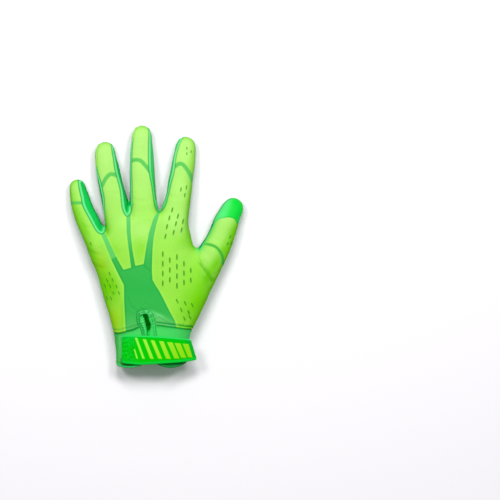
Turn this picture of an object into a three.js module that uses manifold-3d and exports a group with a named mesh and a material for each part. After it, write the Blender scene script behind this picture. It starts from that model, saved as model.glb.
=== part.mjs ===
// Football receiver glove for the left hand, lying palm down.
// Millimetres, +Z up, +Y towards the fingertips, +X towards the thumb.
// The origin is at the middle of the underside of the bounding box.
//
// The glove is a hollow shell: five finger tubes and a hand tube, each lofted
// through the rows of a table, joined outside, joined again one wall further
// in, and the second taken from the first. Seam lines then divide the shell
// into its sewn panels, with a small gap along every seam.

import * as THREE from 'three';
import { mergeVertices } from 'three/addons/utils/BufferGeometryUtils.js';
import Module from 'manifold-3d';

// ---------------------------------------------------------------- sizes
const WALL = 1.8;            // fabric and backing together
const SEAM_GAP = 0.3;        // left open along every seam
const FLOOR = 0;             // the underside is flattened to this height
const FINGER_SIDES = 12;     // points round a finger section
const HAND_SIDES = 24;       // points round a hand section
const FINGER_POWER = 2.25;   // 2 is an ellipse, more is squarer
const HAND_POWER = 2.35;
const TIP_STEPS = [32, 62];     // degrees round a fingertip
const SEAM_DROP = 2.4;       // side seam below the middle of each tube
const BINDING_RISE = 1.0;    // the welt round the slit stands this proud
const STRAP_GAP = 0.5;       // strap above the cuff
const STRAP_THICK = 2.5;
const PALM_HEM_Y = -110.5;   // the cuff is shorter under the palm
const ORIGIN_SHIFT = [0.17, 0];// centres the bounding box on x = y = 0

// Finger tubes. x, y, z: centre; w: width in plan; h: thickness.
// The last row is the very tip (w is 0), rounded from the row before it.
const FINGERS = {
  little: [
    { x: -50.0, y: -9.0, w: 18.0, z: 14.5, h: 15.0 },
    { x: -56.3, y: 5.6, w: 23.0, z: 14.3, h: 20.5 },
    { x: -61.3, y: 16.2, w: 22.0, z: 13.6, h: 20.5 },
    { x: -64.9, y: 24.0, w: 22.2, z: 12.9, h: 19.0 },
    { x: -68.4, y: 31.8, w: 20.9, z: 12.0, h: 17.5 },
    { x: -71.1, y: 39.5, w: 19.7, z: 10.9, h: 16.4 },
    { x: -73.0, y: 47.3, w: 18.4, z: 9.6, h: 15.4 },
    { x: -74.6, y: 54.6, w: 17.2, z: 8.0, h: 14.4 },
    { x: -76.7, y: 65.5, w: 0, z: 6.4, h: 0 },
  ],
  ring: [
    { x: -32.5, y: 3.6, w: 23.0, z: 15.2, h: 18.0 },
    { x: -35.4, y: 22.1, w: 26.2, z: 15.6, h: 22.5 },
    { x: -38.1, y: 37.6, w: 25.0, z: 15.2, h: 20.4 },
    { x: -40.3, y: 47.3, w: 24.0, z: 14.6, h: 19.0 },
    { x: -42.7, y: 57.0, w: 23.2, z: 13.8, h: 18.0 },
    { x: -44.8, y: 66.7, w: 22.6, z: 12.4, h: 17.2 },
    { x: -46.8, y: 78.3, w: 21.2, z: 10.4, h: 16.4 },
    { x: -48.2, y: 89.0, w: 19.2, z: 8.2, h: 15.2 },
    { x: -48.4, y: 101.7, w: 0, z: 6.6, h: 0 },
  ],
  middle: [
    { x: -10.2, y: 6.5, w: 25.0, z: 15.4, h: 18.0 },
    { x: -10.4, y: 22.0, w: 31.0, z: 16.0, h: 24.0 },
    { x: -10.8, y: 34.4, w: 28.6, z: 16.0, h: 22.6 },
    { x: -11.8, y: 42.4, w: 25.2, z: 15.8, h: 21.2 },
    { x: -12.5, y: 53.1, w: 24.2, z: 15.2, h: 19.8 },
    { x: -13.1, y: 64.7, w: 23.5, z: 14.4, h: 18.6 },
    { x: -13.5, y: 79.3, w: 22.5, z: 12.8, h: 17.6 },
    { x: -13.6, y: 93.8, w: 21.3, z: 10.4, h: 16.6 },
    { x: -13.4, y: 104.5, w: 18.9, z: 8.4, h: 15.4 },
    { x: -12.6, y: 117.6, w: 0, z: 6.8, h: 0 },
  ],
  index: [
    { x: 15.6, y: 4.6, w: 25.0, z: 15.0, h: 18.0 },
    { x: 16.6, y: 22.0, w: 30.6, z: 15.4, h: 23.2 },
    { x: 18.2, y: 34.6, w: 27.2, z: 15.4, h: 21.8 },
    { x: 19.8, y: 38.6, w: 25.2, z: 15.2, h: 20.8 },
    { x: 21.5, y: 47.3, w: 23.9, z: 14.6, h: 19.6 },
    { x: 23.2, y: 58.9, w: 23.0, z: 13.8, h: 18.6 },
    { x: 24.9, y: 70.6, w: 22.0, z: 12.6, h: 17.6 },
    { x: 26.7, y: 82.2, w: 21.5, z: 10.8, h: 16.8 },
    { x: 28.2, y: 92.9, w: 20.0, z: 8.6, h: 15.6 },
    { x: 29.6, y: 106.6, w: 0, z: 6.8, h: 0 },
  ],
  thumb: [
    { x: 19.0, y: -78.8, w: 20.0, z: 14.6, h: 17.0 },
    { x: 24.7, y: -67.2, w: 24.6, z: 14.8, h: 21.5 },
    { x: 32.5, y: -51.7, w: 27.2, z: 14.6, h: 24.0 },
    { x: 41.2, y: -34.2, w: 29.0, z: 14.0, h: 25.0 },
    { x: 49.0, y: -17.7, w: 29.0, z: 13.4, h: 24.0 },
    { x: 55.8, y: -4.1, w: 27.6, z: 12.8, h: 22.6 },
    { x: 60.1, y: 4.6, w: 25.9, z: 12.2, h: 21.4 },
    { x: 63.8, y: 13.3, w: 23.8, z: 11.6, h: 20.2 },
    { x: 67.7, y: 24.0, w: 21.9, z: 10.6, h: 18.8 },
    { x: 71.5, y: 34.5, w: 21.2, z: 9.4, h: 17.4 },
    { x: 77.0, y: 47.4, w: 0, z: 7.8, h: 0 },
  ],
};

// Hand tube, from the hem to the webs. Each section stands on the line
// from (xl, yl) to (xr, yr); low and top are its heights before the
// underside is flattened.
const HAND = [
  { xl: -38.3, yl: -119.0, xr: 30.6, yr: -119.0, low: -1.2, top: 31.5 },
  { xl: -38.5, yl: -100.2, xr: 31.5, yr: -100.2, low: -1.2, top: 31.5 },
  { xl: -40.7, yl: -83.7, xr: 33.9, yr: -81.7, low: -1.4, top: 31.0 },
  { xl: -45.1, yl: -66.2, xr: 41.0, yr: -65.2, low: -1.6, top: 30.6 },
  { xl: -50.0, yl: -50.7, xr: 46.0, yr: -48.7, low: -1.8, top: 30.4 },
  { xl: -55.8, yl: -29.3, xr: 46.1, yr: -28.4, low: -1.8, top: 30.6 },
  { xl: -62.1, yl: -10.9, xr: 41.2, yr: -9.0, low: -1.6, top: 30.6 },
  { xl: -66.0, yl: 1.7, xr: 35.9, yr: 5.6, low: -1.0, top: 29.8 },
  { xl: -62.6, yl: 8.4, xr: 33.0, yr: 15.3, low: 0.4, top: 28.2 },
  { xl: -57.7, yl: 11.0, xr: 32.5, yr: 19.2, low: 2.0, top: 26.6 },
  { xl: -54.8, yl: 12.8, xr: 31.8, yr: 22.6, low: 4.6, top: 24.0 },
  { xl: -53.5, yl: 13.8, xr: 31.0, yr: 24.6, low: 8.6, top: 20.0 },
];

// Seam between the hand and the cuff, from the little finger side to the
// thumb side, in plan.
const CUFF_SEAM = [
  { x: -60, y: -84.0 }, { x: -44.1, y: -83.3 }, { x: -28.6, y: -82.3 },
  { x: -15.7, y: -77.8 }, { x: 1.9, y: -75.7 }, { x: 18.9, y: -78.3 },
  { x: 35.4, y: -80.0 }, { x: 60, y: -81.0 },
];

// Seam of the thumb's tip piece, in plan.
const TIP_SEAM = [
  { x: 48, y: 21.0 }, { x: 56.2, y: 24.0 }, { x: 60.0, y: 27.0 },
  { x: 67.3, y: 28.5 }, { x: 76.1, y: 27.7 }, { x: 79.0, y: 23.3 },
  { x: 90, y: 17.0 },
];

// Gussets between the fingers, in plan: down the near edge on the first
// finger, round the web, and up the edge on the second finger.
const GUSSETS = {
  little_ring: [
    { x: -73.6, y: 74 }, { x: -73.6, y: 56 }, { x: -69.8, y: 38.5 },
    { x: -59.8, y: 17.6 }, { x: -53.4, y: 8.6 }, { x: -45.2, y: 12.4 },
    { x: -46.4, y: 28 }, { x: -51.0, y: 58 }, { x: -54.6, y: 80 },
    { x: -53.0, y: 92 }, { x: -51.5, y: 112 },
  ],
  ring_middle: [
    { x: -43.6, y: 112 }, { x: -41.4, y: 89 }, { x: -36.8, y: 66 },
    { x: -32.4, y: 42 }, { x: -31.0, y: 30.6 }, { x: -26.2, y: 26.2 },
    { x: -21.2, y: 31.0 }, { x: -21.2, y: 47 }, { x: -21.8, y: 70 },
    { x: -21.6, y: 96 }, { x: -17.2, y: 108 }, { x: -17.0, y: 126 },
  ],
  middle_index: [
    { x: -7.4, y: 126 }, { x: -6.4, y: 95 }, { x: -6.0, y: 75 },
    { x: -1.8, y: 42 }, { x: -1.0, y: 33.4 }, { x: 4.2, y: 27.6 },
    { x: 9.4, y: 33 }, { x: 12.0, y: 46 }, { x: 18.3, y: 73 },
    { x: 20.2, y: 88 }, { x: 24.2, y: 101 }, { x: 25.2, y: 116 },
  ],
};

// Wrist slit, in plan, opening into a notch at the hem.
const SLIT = [
  { x: -12.6, y: -122 }, { x: -12.4, y: -114.6 }, { x: -9.4, y: -108 },
  { x: -8.2, y: -98 }, { x: -8.0, y: -84.6 }, { x: -8.6, y: -78.8 },
  { x: -9.6, y: -74.4 }, { x: -10.6, y: -70 }, { x: -11.4, y: -66.4 },
  { x: -8.6, y: -64.9 }, { x: -6.4, y: -67.7 }, { x: -5.8, y: -71.1 },
  { x: -4.4, y: -74.9 }, { x: -4.6, y: -77.8 }, { x: -5.6, y: -81.2 },
  { x: -6.0, y: -84.6 }, { x: -5.6, y: -98 }, { x: -3.4, y: -108 },
  { x: 0.6, y: -114.4 }, { x: 1.4, y: -122 },
];
const SLIT_FLOOR = 14;       // the slit goes through the back only

// Outer edge of the welt round the slit, in plan.
const BINDING = [
  { x: -13.6, y: -84.9 }, { x: -15.4, y: -79.6 }, { x: -17.2, y: -74.4 },
  { x: -17.8, y: -68.6 }, { x: -17.0, y: -63.8 }, { x: -14.0, y: -61.2 },
  { x: -9.4, y: -60.4 }, { x: -5.0, y: -61.8 }, { x: -2.0, y: -65.6 },
  { x: -0.2, y: -71.0 }, { x: 0.6, y: -77.8 }, { x: 0.2, y: -84.9 },
];

// Hem of the cuff over the back, in plan: two rounded lobes.
const HEM = [
  { x: -60, y: -112.0 }, { x: -41.2, y: -113.7 }, { x: -36.4, y: -115.7 },
  { x: -26.7, y: -117.6 }, { x: -17.9, y: -116.4 }, { x: -12.4, y: -113.6 },
  { x: 1.0, y: -113.4 }, { x: 8.2, y: -116.3 }, { x: 15.6, y: -117.2 },
  { x: 23.8, y: -115.7 }, { x: 30.6, y: -112.8 }, { x: 60, y: -108.0 },
];
const HEM_STEP_Z = 13;       // above this the hem follows the lobes

// Wrist strap in plan: its upper edge and its lower edge.
const STRAP = [
  { xt: -32.0, yt: -85.6, xb: -32.0, yb: -112.6 },
  { xt: -27.0, yt: -85.6, xb: -26.6, yb: -113.4 },
  { xt: -22.0, yt: -85.6, xb: -21.0, yb: -113.8 },
  { xt: -17.0, yt: -85.7, xb: -16.0, yb: -114.2 },
  { xt: -12.0, yt: -85.9, xb: -11.0, yb: -114.2 },
  { xt: -6.0, yt: -86.1, xb: -4.5, yb: -113.9 },
  { xt: 0.0, yt: -86.4, xb: 2.0, yb: -113.4 },
  { xt: 6.0, yt: -86.8, xb: 8.5, yb: -113.0 },
  { xt: 12.0, yt: -87.3, xb: 14.5, yb: -112.6 },
  { xt: 18.0, yt: -87.9, xb: 21.5, yb: -112.1 },
  { xt: 23.5, yt: -88.4, xb: 28.0, yb: -111.4 },
  { xt: 29.0, yt: -89.0, xb: 34.0, yb: -110.6 },
  { xt: 33.9, yt: -89.6, xb: 39.9, yb: -109.4 },
];
const STRAP_STRAIGHT_X = 15; // past this the strap runs on straight
const STRAP_ROWS = 4;

const COLOURS = {
  back_panel: 0x9ce74e, palm_panel: 0x18d048, thumb_tip: 0x12dc44,
  fourchette_little_ring: 0x2ccb5c, fourchette_ring_middle: 0x2ccb5c,
  fourchette_middle_index: 0x2ccb5c, cuff: 0x4fce65,
  slit_binding: 0x4bd769, wrist_strap: 0x01ca02,
};

// ---------------------------------------------------------------- solids
const wasm = await Module();
wasm.setup();

function toSolid(geometry) {
  geometry.deleteAttribute('normal');
  geometry.deleteAttribute('uv');
  const g = mergeVertices(geometry, 1e-4);
  const vertProperties = new Float32Array(g.attributes.position.array);
  const triVerts = new Uint32Array(g.index.array);
  return new wasm.Manifold(new wasm.Mesh({ numProp: 3, vertProperties, triVerts }));
}

// The largest body of a solid: crumbs left where two cuts meet are dropped.
function toGeometry(solid) {
  const m = solid.getMesh();
  const body = Array.from({ length: m.vertProperties.length / 3 }, (_, i) => i);
  const root = (a) => { while (body[a] !== a) { body[a] = body[body[a]]; a = body[a]; } return a; };
  const tri = m.triVerts;
  for (let t = 0; t < tri.length; t += 3) {
    body[root(tri[t])] = root(tri[t + 1]);
    body[root(tri[t + 1])] = root(tri[t + 2]);
  }
  const count = new Map();
  for (let t = 0; t < tri.length; t += 3) count.set(root(tri[t]), (count.get(root(tri[t])) || 0) + 1);
  const keep = [...count.entries()].sort((a, b) => b[1] - a[1])[0][0];
  const index = [];
  for (let t = 0; t < tri.length; t += 3) if (root(tri[t]) === keep) index.push(tri[t], tri[t + 1], tri[t + 2]);
  const g = new THREE.BufferGeometry();
  g.setAttribute('position', new THREE.BufferAttribute(new Float32Array(m.vertProperties), 3));
  g.setIndex(index);
  return g;
}

// Closed skin over a row of rings; each end is a fan to its middle point.
function loft(rings, endPoints) {
  const n = rings[0].length;
  const pos = [];
  rings.forEach((ring) => ring.forEach((p) => pos.push(p.x, p.y, p.z)));
  endPoints.forEach((p) => pos.push(p.x, p.y, p.z));
  const first = rings.length * n, last = first + 1;
  const idx = [];
  for (let r = 0; r + 1 < rings.length; r++) {
    for (let i = 0; i < n; i++) {
      const j = (i + 1) % n;
      const a = r * n + i, b = r * n + j, c = a + n, d = b + n;
      idx.push(a, b, d, a, d, c);
    }
  }
  for (let i = 0; i < n; i++) {
    const j = (i + 1) % n;
    idx.push(first, j, i);
    idx.push(last, (rings.length - 1) * n + i, (rings.length - 1) * n + j);
  }
  let volume = 0;
  const v = (k) => new THREE.Vector3(pos[3 * k], pos[3 * k + 1], pos[3 * k + 2]);
  for (let t = 0; t < idx.length; t += 3) {
    volume += v(idx[t]).dot(v(idx[t + 1]).cross(v(idx[t + 2])));
  }
  if (volume < 0) for (let t = 0; t < idx.length; t += 3) [idx[t], idx[t + 1]] = [idx[t + 1], idx[t]];
  const g = new THREE.BufferGeometry();
  g.setAttribute('position', new THREE.BufferAttribute(new Float32Array(pos), 3));
  g.setIndex(idx);
  return toSolid(g);
}

// One superellipse section about c, its width along the plan direction
// (ax, ay), flattened at the height floor.
function section(c, ax, ay, w, h, power, sides, floor) {
  const ring = [];
  for (let i = 0; i < sides; i++) {
    const a = (2 * Math.PI * i) / sides;
    const cs = Math.cos(a), sn = Math.sin(a);
    const u = Math.sign(cs) * Math.abs(cs) ** (2 / power) * w / 2;
    const v = Math.sign(sn) * Math.abs(sn) ** (2 / power) * h / 2;
    ring.push(new THREE.Vector3(c.x + ax * u, c.y + ay * u, Math.max(c.z + v, floor)));
  }
  return ring;
}

function finger(rows, inset) {
  const floor = FLOOR + inset;
  const tip = rows[rows.length - 1];
  const rings = [];
  const dir = (i) => {
    const a = rows[Math.max(0, i - 1)], b = rows[Math.min(rows.length - 1, i + 1)];
    const d = Math.hypot(b.x - a.x, b.y - a.y);
    return [(b.x - a.x) / d, (b.y - a.y) / d];
  };
  const body = rows.slice(0, -1);
  body.forEach((r, i) => {
    const [dx, dy] = dir(i);
    rings.push(section(r, dy, -dx, r.w - 2 * inset, r.h - 2 * inset, FINGER_POWER, FINGER_SIDES, floor));
  });
  const last = body[body.length - 1];
  const run = Math.hypot(tip.x - last.x, tip.y - last.y);
  const dx = (tip.x - last.x) / run, dy = (tip.y - last.y) / run;
  const reach = run - inset;
  TIP_STEPS.forEach((deg) => {
    const s = Math.sin(deg * Math.PI / 180), c = Math.cos(deg * Math.PI / 180);
    const t = s * reach / run;
    const p = { x: last.x + dx * s * reach, y: last.y + dy * s * reach, z: last.z + (tip.z - last.z) * t };
    rings.push(section(p, dy, -dx, (last.w - 2 * inset) * c, (last.h - 2 * inset) * c, FINGER_POWER, FINGER_SIDES, floor));
  });
  const root = new THREE.Vector3(body[0].x, body[0].y, body[0].z);
  const end = new THREE.Vector3(last.x + dx * reach, last.y + dy * reach, Math.max(tip.z, floor + 0.5));
  return loft(rings, [root, end]);
}

// inset shrinks the tube on every side; mouth pushes its wrist end out.
function handTube(rows, inset, mouth) {
  const floor = FLOOR + inset;
  const rings = [], mid = [];
  rows.forEach((r, i) => {
    const last = i === rows.length - 1;
    const d = Math.hypot(r.xr - r.xl, r.yr - r.yl);
    const ax = (r.xr - r.xl) / d, ay = (r.yr - r.yl) / d;
    const c = {
      x: (r.xl + r.xr) / 2,
      y: (r.yl + r.yr) / 2 - (i === 0 ? mouth : 0) - (last ? inset : 0),
      z: (r.low + r.top) / 2,
    };
    rings.push(section(c, ax, ay, d - 2 * inset, Math.max(r.top - r.low - 2 * inset, 2), HAND_POWER, HAND_SIDES, floor));
    mid.push(new THREE.Vector3(c.x, c.y, Math.max(c.z, floor + 1)));
  });
  return loft(rings, [mid[0], mid[mid.length - 1]]);
}

// Upright prism over a plan outline, from z0 to z1.
function prism(points, z0, z1) {
  const shape = new THREE.Shape(points.map((p) => new THREE.Vector2(p.x, p.y)));
  const g = new THREE.ExtrudeGeometry(shape, { depth: z1 - z0, bevelEnabled: false });
  g.translate(0, 0, z0);
  return toSolid(g);
}

// Everything on one side of a plan line that runs from left to right.
function below(line, shift, z0, z1) {
  const pts = line.map((p) => ({ x: p.x, y: p.y + shift }));
  return prism([...pts, { x: pts[pts.length - 1].x, y: -200 }, { x: pts[0].x, y: -200 }], z0, z1);
}

// Everything under the side seam, which keeps SEAM_DROP below the middle of
// each tube: a slab under every finger and one under the hand.
function underSeam(shift) {
  const slab = (rows) => {
    const rings = rows.map((r) => {
      const corner = (u, z) => new THREE.Vector3(r.x + r.ax * u, r.y + r.ay * u, z);
      return [corner(-r.half, -20), corner(r.half, -20), corner(r.half, r.z), corner(-r.half, r.z)];
    });
    const end = (r) => new THREE.Vector3(r.x, r.y, r.z - 5);
    return loft(rings, [end(rows[0]), end(rows[rows.length - 1])]);
  };
  const handRows = HAND.map((r, i) => {
    const d = Math.hypot(r.xr - r.xl, r.yr - r.yl);
    return { x: (r.xl + r.xr) / 2, y: (r.yl + r.yr) / 2, ax: (r.xr - r.xl) / d, ay: (r.yr - r.yl) / d,
      half: d / 2 + 3 + shift, z: 14.6 - SEAM_DROP + shift };
  });
  let all = slab(handRows);
  for (const rows of Object.values(FINGERS)) {
    all = all.add(slab(rows.map((r, i) => {
      const a = rows[Math.max(0, i - 1)], b = rows[Math.min(rows.length - 1, i + 1)];
      const d = Math.hypot(b.x - a.x, b.y - a.y);
      const dx = (b.x - a.x) / d, dy = (b.y - a.y) / d, past = i === rows.length - 1 ? 2 + shift : 0;
      return { x: r.x + dx * past, y: r.y + dy * past, ax: dy, ay: -dx,
        half: (r.w || a.w) / 2 + 0.6 + shift, z: r.z - SEAM_DROP + shift };
    })));
  }
  return all;
}

// The outline moved out by d on every side.
function grow(points, d) {
  const n = points.length;
  let area = 0;
  points.forEach((p, i) => { const q = points[(i + 1) % n]; area += p.x * q.y - q.x * p.y; });
  const s = area > 0 ? 1 : -1;
  return points.map((p, i) => {
    const a = points[(i + n - 1) % n], b = points[(i + 1) % n];
    const e = [[p.x - a.x, p.y - a.y], [b.x - p.x, b.y - p.y]].map(([x, y]) => {
      const l = Math.hypot(x, y); return [s * y / l, -s * x / l];
    });
    const mx = e[0][0] + e[1][0], my = e[0][1] + e[1][1];
    const k = 2 / Math.max(mx * mx + my * my, 0.8);
    return { x: p.x + mx * k * d, y: p.y + my * k * d };
  });
}

// ---------------------------------------------------------------- shell
const names = Object.keys(FINGERS);
let outer = handTube(HAND, 0, 0);
let inner = handTube(HAND, WALL, 6);
for (const name of names) {
  outer = outer.add(finger(FINGERS[name], 0));
  inner = inner.add(finger(FINGERS[name], WALL));
}
let shell = outer.subtract(inner);

// hem: lobes over the back, a straight edge under the palm
shell = shell.subtract(below(HEM, 0, HEM_STEP_Z, 60));
shell = shell.subtract(below([{ x: -60, y: PALM_HEM_Y }, { x: 60, y: PALM_HEM_Y }], 0, -10, HEM_STEP_Z + 0.01));

const slit = prism(SLIT, SLIT_FLOOR, 60);
const half = SEAM_GAP / 2;
const pieces = {};

// the welt takes the place of the wall round the slit and stands proud of it
const rise = handTube(HAND, -BINDING_RISE, 0).subtract(inner);
const bindingPrism = prism(BINDING, SLIT_FLOOR, 60);
pieces.slit_binding = rise.intersect(bindingPrism).subtract(slit);
shell = shell.subtract(prism(grow(BINDING, SEAM_GAP), SLIT_FLOOR, 60)).subtract(slit);

pieces.cuff = shell.intersect(below(CUFF_SEAM, -half, -10, 60));
let hand = shell.subtract(below(CUFF_SEAM, half, -10, 60));

const tipAbove = (shift) => prism([...TIP_SEAM.map((p) => ({ x: p.x, y: p.y + shift })),
  { x: 95, y: 60 }, { x: 48, y: 60 }], -10, 60);
pieces.thumb_tip = hand.intersect(tipAbove(half));
hand = hand.subtract(tipAbove(-half));

pieces.palm_panel = hand.intersect(underSeam(-half));
let back = hand.subtract(underSeam(half));
for (const [name, outline] of Object.entries(GUSSETS)) {
  pieces['fourchette_' + name] = back.intersect(prism(outline, -10, 60));
  back = back.subtract(prism(grow(outline, SEAM_GAP), -10, 60));
}
pieces.back_panel = back;

// ---------------------------------------------------------------- strap
// Height of the cuff's back at a point in plan.
function cuffTop(x, y) {
  let i = 0;
  while (i < 2 && y > HAND[i + 1].yl) i++;
  const a = HAND[i], b = HAND[i + 1];
  const t = Math.min(Math.max((y - a.yl) / (b.yl - a.yl), 0), 1);
  const mix = (k) => a[k] + (b[k] - a[k]) * t;
  const u = (x - (mix('xl') + mix('xr')) / 2) / ((mix('xr') - mix('xl')) / 2);
  const hz = (mix('top') - mix('low')) / 2;
  return (mix('top') + mix('low')) / 2 + hz * (1 - Math.abs(u) ** HAND_POWER) ** (1 / HAND_POWER);
}

function strapBase(x, y) {
  const at = Math.min(x, STRAP_STRAIGHT_X);
  const slope = (cuffTop(at + 0.5, y) - cuffTop(at - 0.5, y));
  const flat = x > STRAP_STRAIGHT_X ? slope * (x - STRAP_STRAIGHT_X) : 0;
  return { z: cuffTop(at, y) + flat, stretch: Math.min(Math.hypot(1, slope), 1.7) };
}

function strap() {
  const rings = STRAP.map((r) => {
    const ring = [];
    const point = (k, lift) => {
      const t = k / STRAP_ROWS;
      const x = r.xt + (r.xb - r.xt) * t, y = r.yt + (r.yb - r.yt) * t;
      const b = strapBase(x, y);
      return new THREE.Vector3(x, y, b.z + lift * b.stretch);
    };
    for (let k = 0; k <= STRAP_ROWS; k++) ring.push(point(k, STRAP_GAP));
    for (let k = STRAP_ROWS; k >= 0; k--) ring.push(point(k, STRAP_GAP + STRAP_THICK));
    return ring;
  });
  const middle = (ring) => ring.reduce((s, p) => s.add(p), new THREE.Vector3()).multiplyScalar(1 / ring.length);
  return loft(rings, [middle(rings[0]), middle(rings[rings.length - 1])]);
}
pieces.wrist_strap = strap();

// ---------------------------------------------------------------- model
const glove = new THREE.Group();
for (const [name, solid] of Object.entries(pieces)) {
  const strapLike = name === 'wrist_strap';
  const material = new THREE.MeshStandardMaterial({
    color: COLOURS[name], roughness: strapLike ? 0.5 : 0.75, metalness: 0,
  });
  const mesh = new THREE.Mesh(toGeometry(solid), material);
  mesh.name = name;
  glove.add(mesh);
}
glove.position.set(ORIGIN_SHIFT[0], ORIGIN_SHIFT[1], 0);

export default glove;
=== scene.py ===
"""Looks of a left receiver glove that lies palm down.

Lengths in the tables are millimetres in the part's frame: +Y to the
fingertips, +X to the thumb, +Z up. The glove's outer skin is worked out as a
distance field from the same section tables as the part, meshed, cut along its
seams into panels, thickened and creased. The strap and the stitches are laid
on that skin.
"""
import math

import bpy
import numpy as np
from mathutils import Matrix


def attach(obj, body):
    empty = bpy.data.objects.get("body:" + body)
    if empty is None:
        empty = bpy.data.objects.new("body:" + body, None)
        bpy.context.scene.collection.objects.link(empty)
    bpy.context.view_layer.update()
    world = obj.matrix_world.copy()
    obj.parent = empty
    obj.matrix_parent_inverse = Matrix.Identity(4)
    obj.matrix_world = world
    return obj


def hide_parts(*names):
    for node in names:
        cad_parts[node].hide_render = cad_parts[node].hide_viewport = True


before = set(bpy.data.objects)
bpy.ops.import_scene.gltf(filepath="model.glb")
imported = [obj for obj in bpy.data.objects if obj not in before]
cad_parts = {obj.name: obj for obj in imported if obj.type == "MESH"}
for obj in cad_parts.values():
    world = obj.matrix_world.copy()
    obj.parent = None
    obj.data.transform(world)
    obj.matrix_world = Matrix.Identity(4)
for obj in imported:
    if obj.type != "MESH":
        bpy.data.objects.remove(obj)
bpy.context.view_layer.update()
SHIFT = np.array([0.17, 0.0, 0.0])      # the part's own centring, in mm
MM = 0.001

# ------------------------------------------------------------------ tables
# x, y, w: centre and width in plan; z, h: middle height and thickness.
FINGERS = {
    "little": [
        (-50.0, -9.0, 22.0, 14.5, 22.0), (-56.3, 5.6, 24.0, 14.5, 22.0),
        (-61.3, 16.2, 23.0, 13.7, 20.5), (-65.0, 24.0, 22.6, 12.9, 19.0),
        (-68.5, 31.8, 21.4, 12.0, 17.6), (-71.3, 39.5, 20.2, 10.9, 16.6),
        (-73.4, 47.3, 19.0, 9.6, 15.6), (-75.2, 54.2, 17.0, 8.2, 14.6),
        (-77.0, 65.2, 0, 6.6, 0)],
    "ring": [
        (-32.5, 3.6, 26.0, 15.5, 24.5), (-35.4, 22.1, 26.8, 15.6, 22.6),
        (-38.1, 37.6, 26.2, 15.2, 20.6), (-40.3, 47.3, 25.4, 14.6, 19.2),
        (-42.7, 57.0, 24.6, 13.8, 18.2), (-44.9, 66.7, 24.0, 12.4, 17.4),
        (-47.1, 78.3, 22.8, 10.4, 16.6), (-48.9, 88.0, 20.8, 8.4, 15.4),
        (-49.2, 101.7, 0, 6.8, 0)],
    "middle": [
        (-10.2, 6.5, 28.0, 15.8, 25.5), (-10.7, 22.0, 29.2, 16.0, 24.4),
        (-11.3, 34.4, 27.8, 16.0, 22.6), (-11.7, 42.4, 26.6, 15.8, 21.2),
        (-12.2, 53.1, 25.8, 15.2, 19.8), (-12.8, 64.7, 25.1, 14.4, 18.8),
        (-13.2, 79.3, 24.1, 12.8, 17.8), (-13.5, 93.8, 22.8, 10.4, 16.8),
        (-13.5, 103.5, 20.6, 8.6, 15.6), (-12.8, 117.4, 0, 6.8, 0)],
    "index": [
        (15.8, 4.6, 28.0, 15.2, 24.5), (17.0, 22.0, 29.0, 15.4, 23.6),
        (18.9, 34.6, 26.8, 15.4, 21.8), (20.1, 40.0, 25.9, 15.2, 20.8),
        (21.8, 47.3, 24.9, 14.6, 19.8), (23.4, 58.9, 24.1, 13.8, 18.8),
        (25.1, 70.6, 23.1, 12.6, 17.8), (26.9, 82.2, 22.3, 10.8, 17.0),
        (28.4, 92.0, 20.9, 8.8, 15.8), (29.8, 106.6, 0, 6.8, 0)],
    "thumb": [
        (20.5, -76.0, 22.0, 14.8, 24.0), (25.6, -66.0, 24.6, 14.8, 25.0),
        (33.0, -51.7, 27.2, 14.6, 25.5), (41.6, -34.2, 29.2, 14.0, 25.0),
        (49.6, -17.7, 29.6, 13.4, 24.0), (56.7, -4.1, 28.2, 12.8, 22.6),
        (61.2, 4.6, 26.4, 12.2, 21.4), (64.6, 13.3, 25.2, 11.6, 20.4),
        (68.5, 24.0, 24.2, 10.6, 19.0), (72.6, 33.0, 21.6, 9.5, 17.6),
        (80.2, 46.2, 0, 7.8, 0)],
}
# y, left edge, right edge, low and top of the hand's sections.
HAND = [
    (-130.0, -38.2, 30.2, -1.2, 31.5), (-100.2, -38.5, 31.5, -1.2, 31.5),
    (-83.0, -40.7, 33.9, -1.4, 31.0), (-66.0, -45.1, 40.6, -1.6, 30.6),
    (-50.0, -50.0, 45.0, -1.8, 30.6), (-29.0, -55.8, 45.4, -1.8, 30.9),
    (-10.0, -62.1, 41.0, -1.6, 31.0), (3.0, -66.2, 36.0, -1.2, 30.6),
    (15.0, -68.6, 33.0, -0.4, 29.4), (26.0, -69.5, 31.2, 1.0, 28.2),
    (45.0, -70.0, 30.0, 1.0, 28.0)]
HAND_POWER, FINGER_POWER = 2.35, 2.25
# Where the hand ends between the fingers.
WEB = [(-110, -30), (-66, 4), (-57, 9.5), (-51.5, 12.6), (-44, 20), (-34, 26.5),
       (-27, 30.2), (-14, 33.0), (3.8, 33.6), (15, 31.5), (31, 25), (80, -4)]
WEB_ROUND = 10.0
FLOOR_ROUND = 2.4
WALL = 1.4
SEAM_DROP = 2.4

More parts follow.
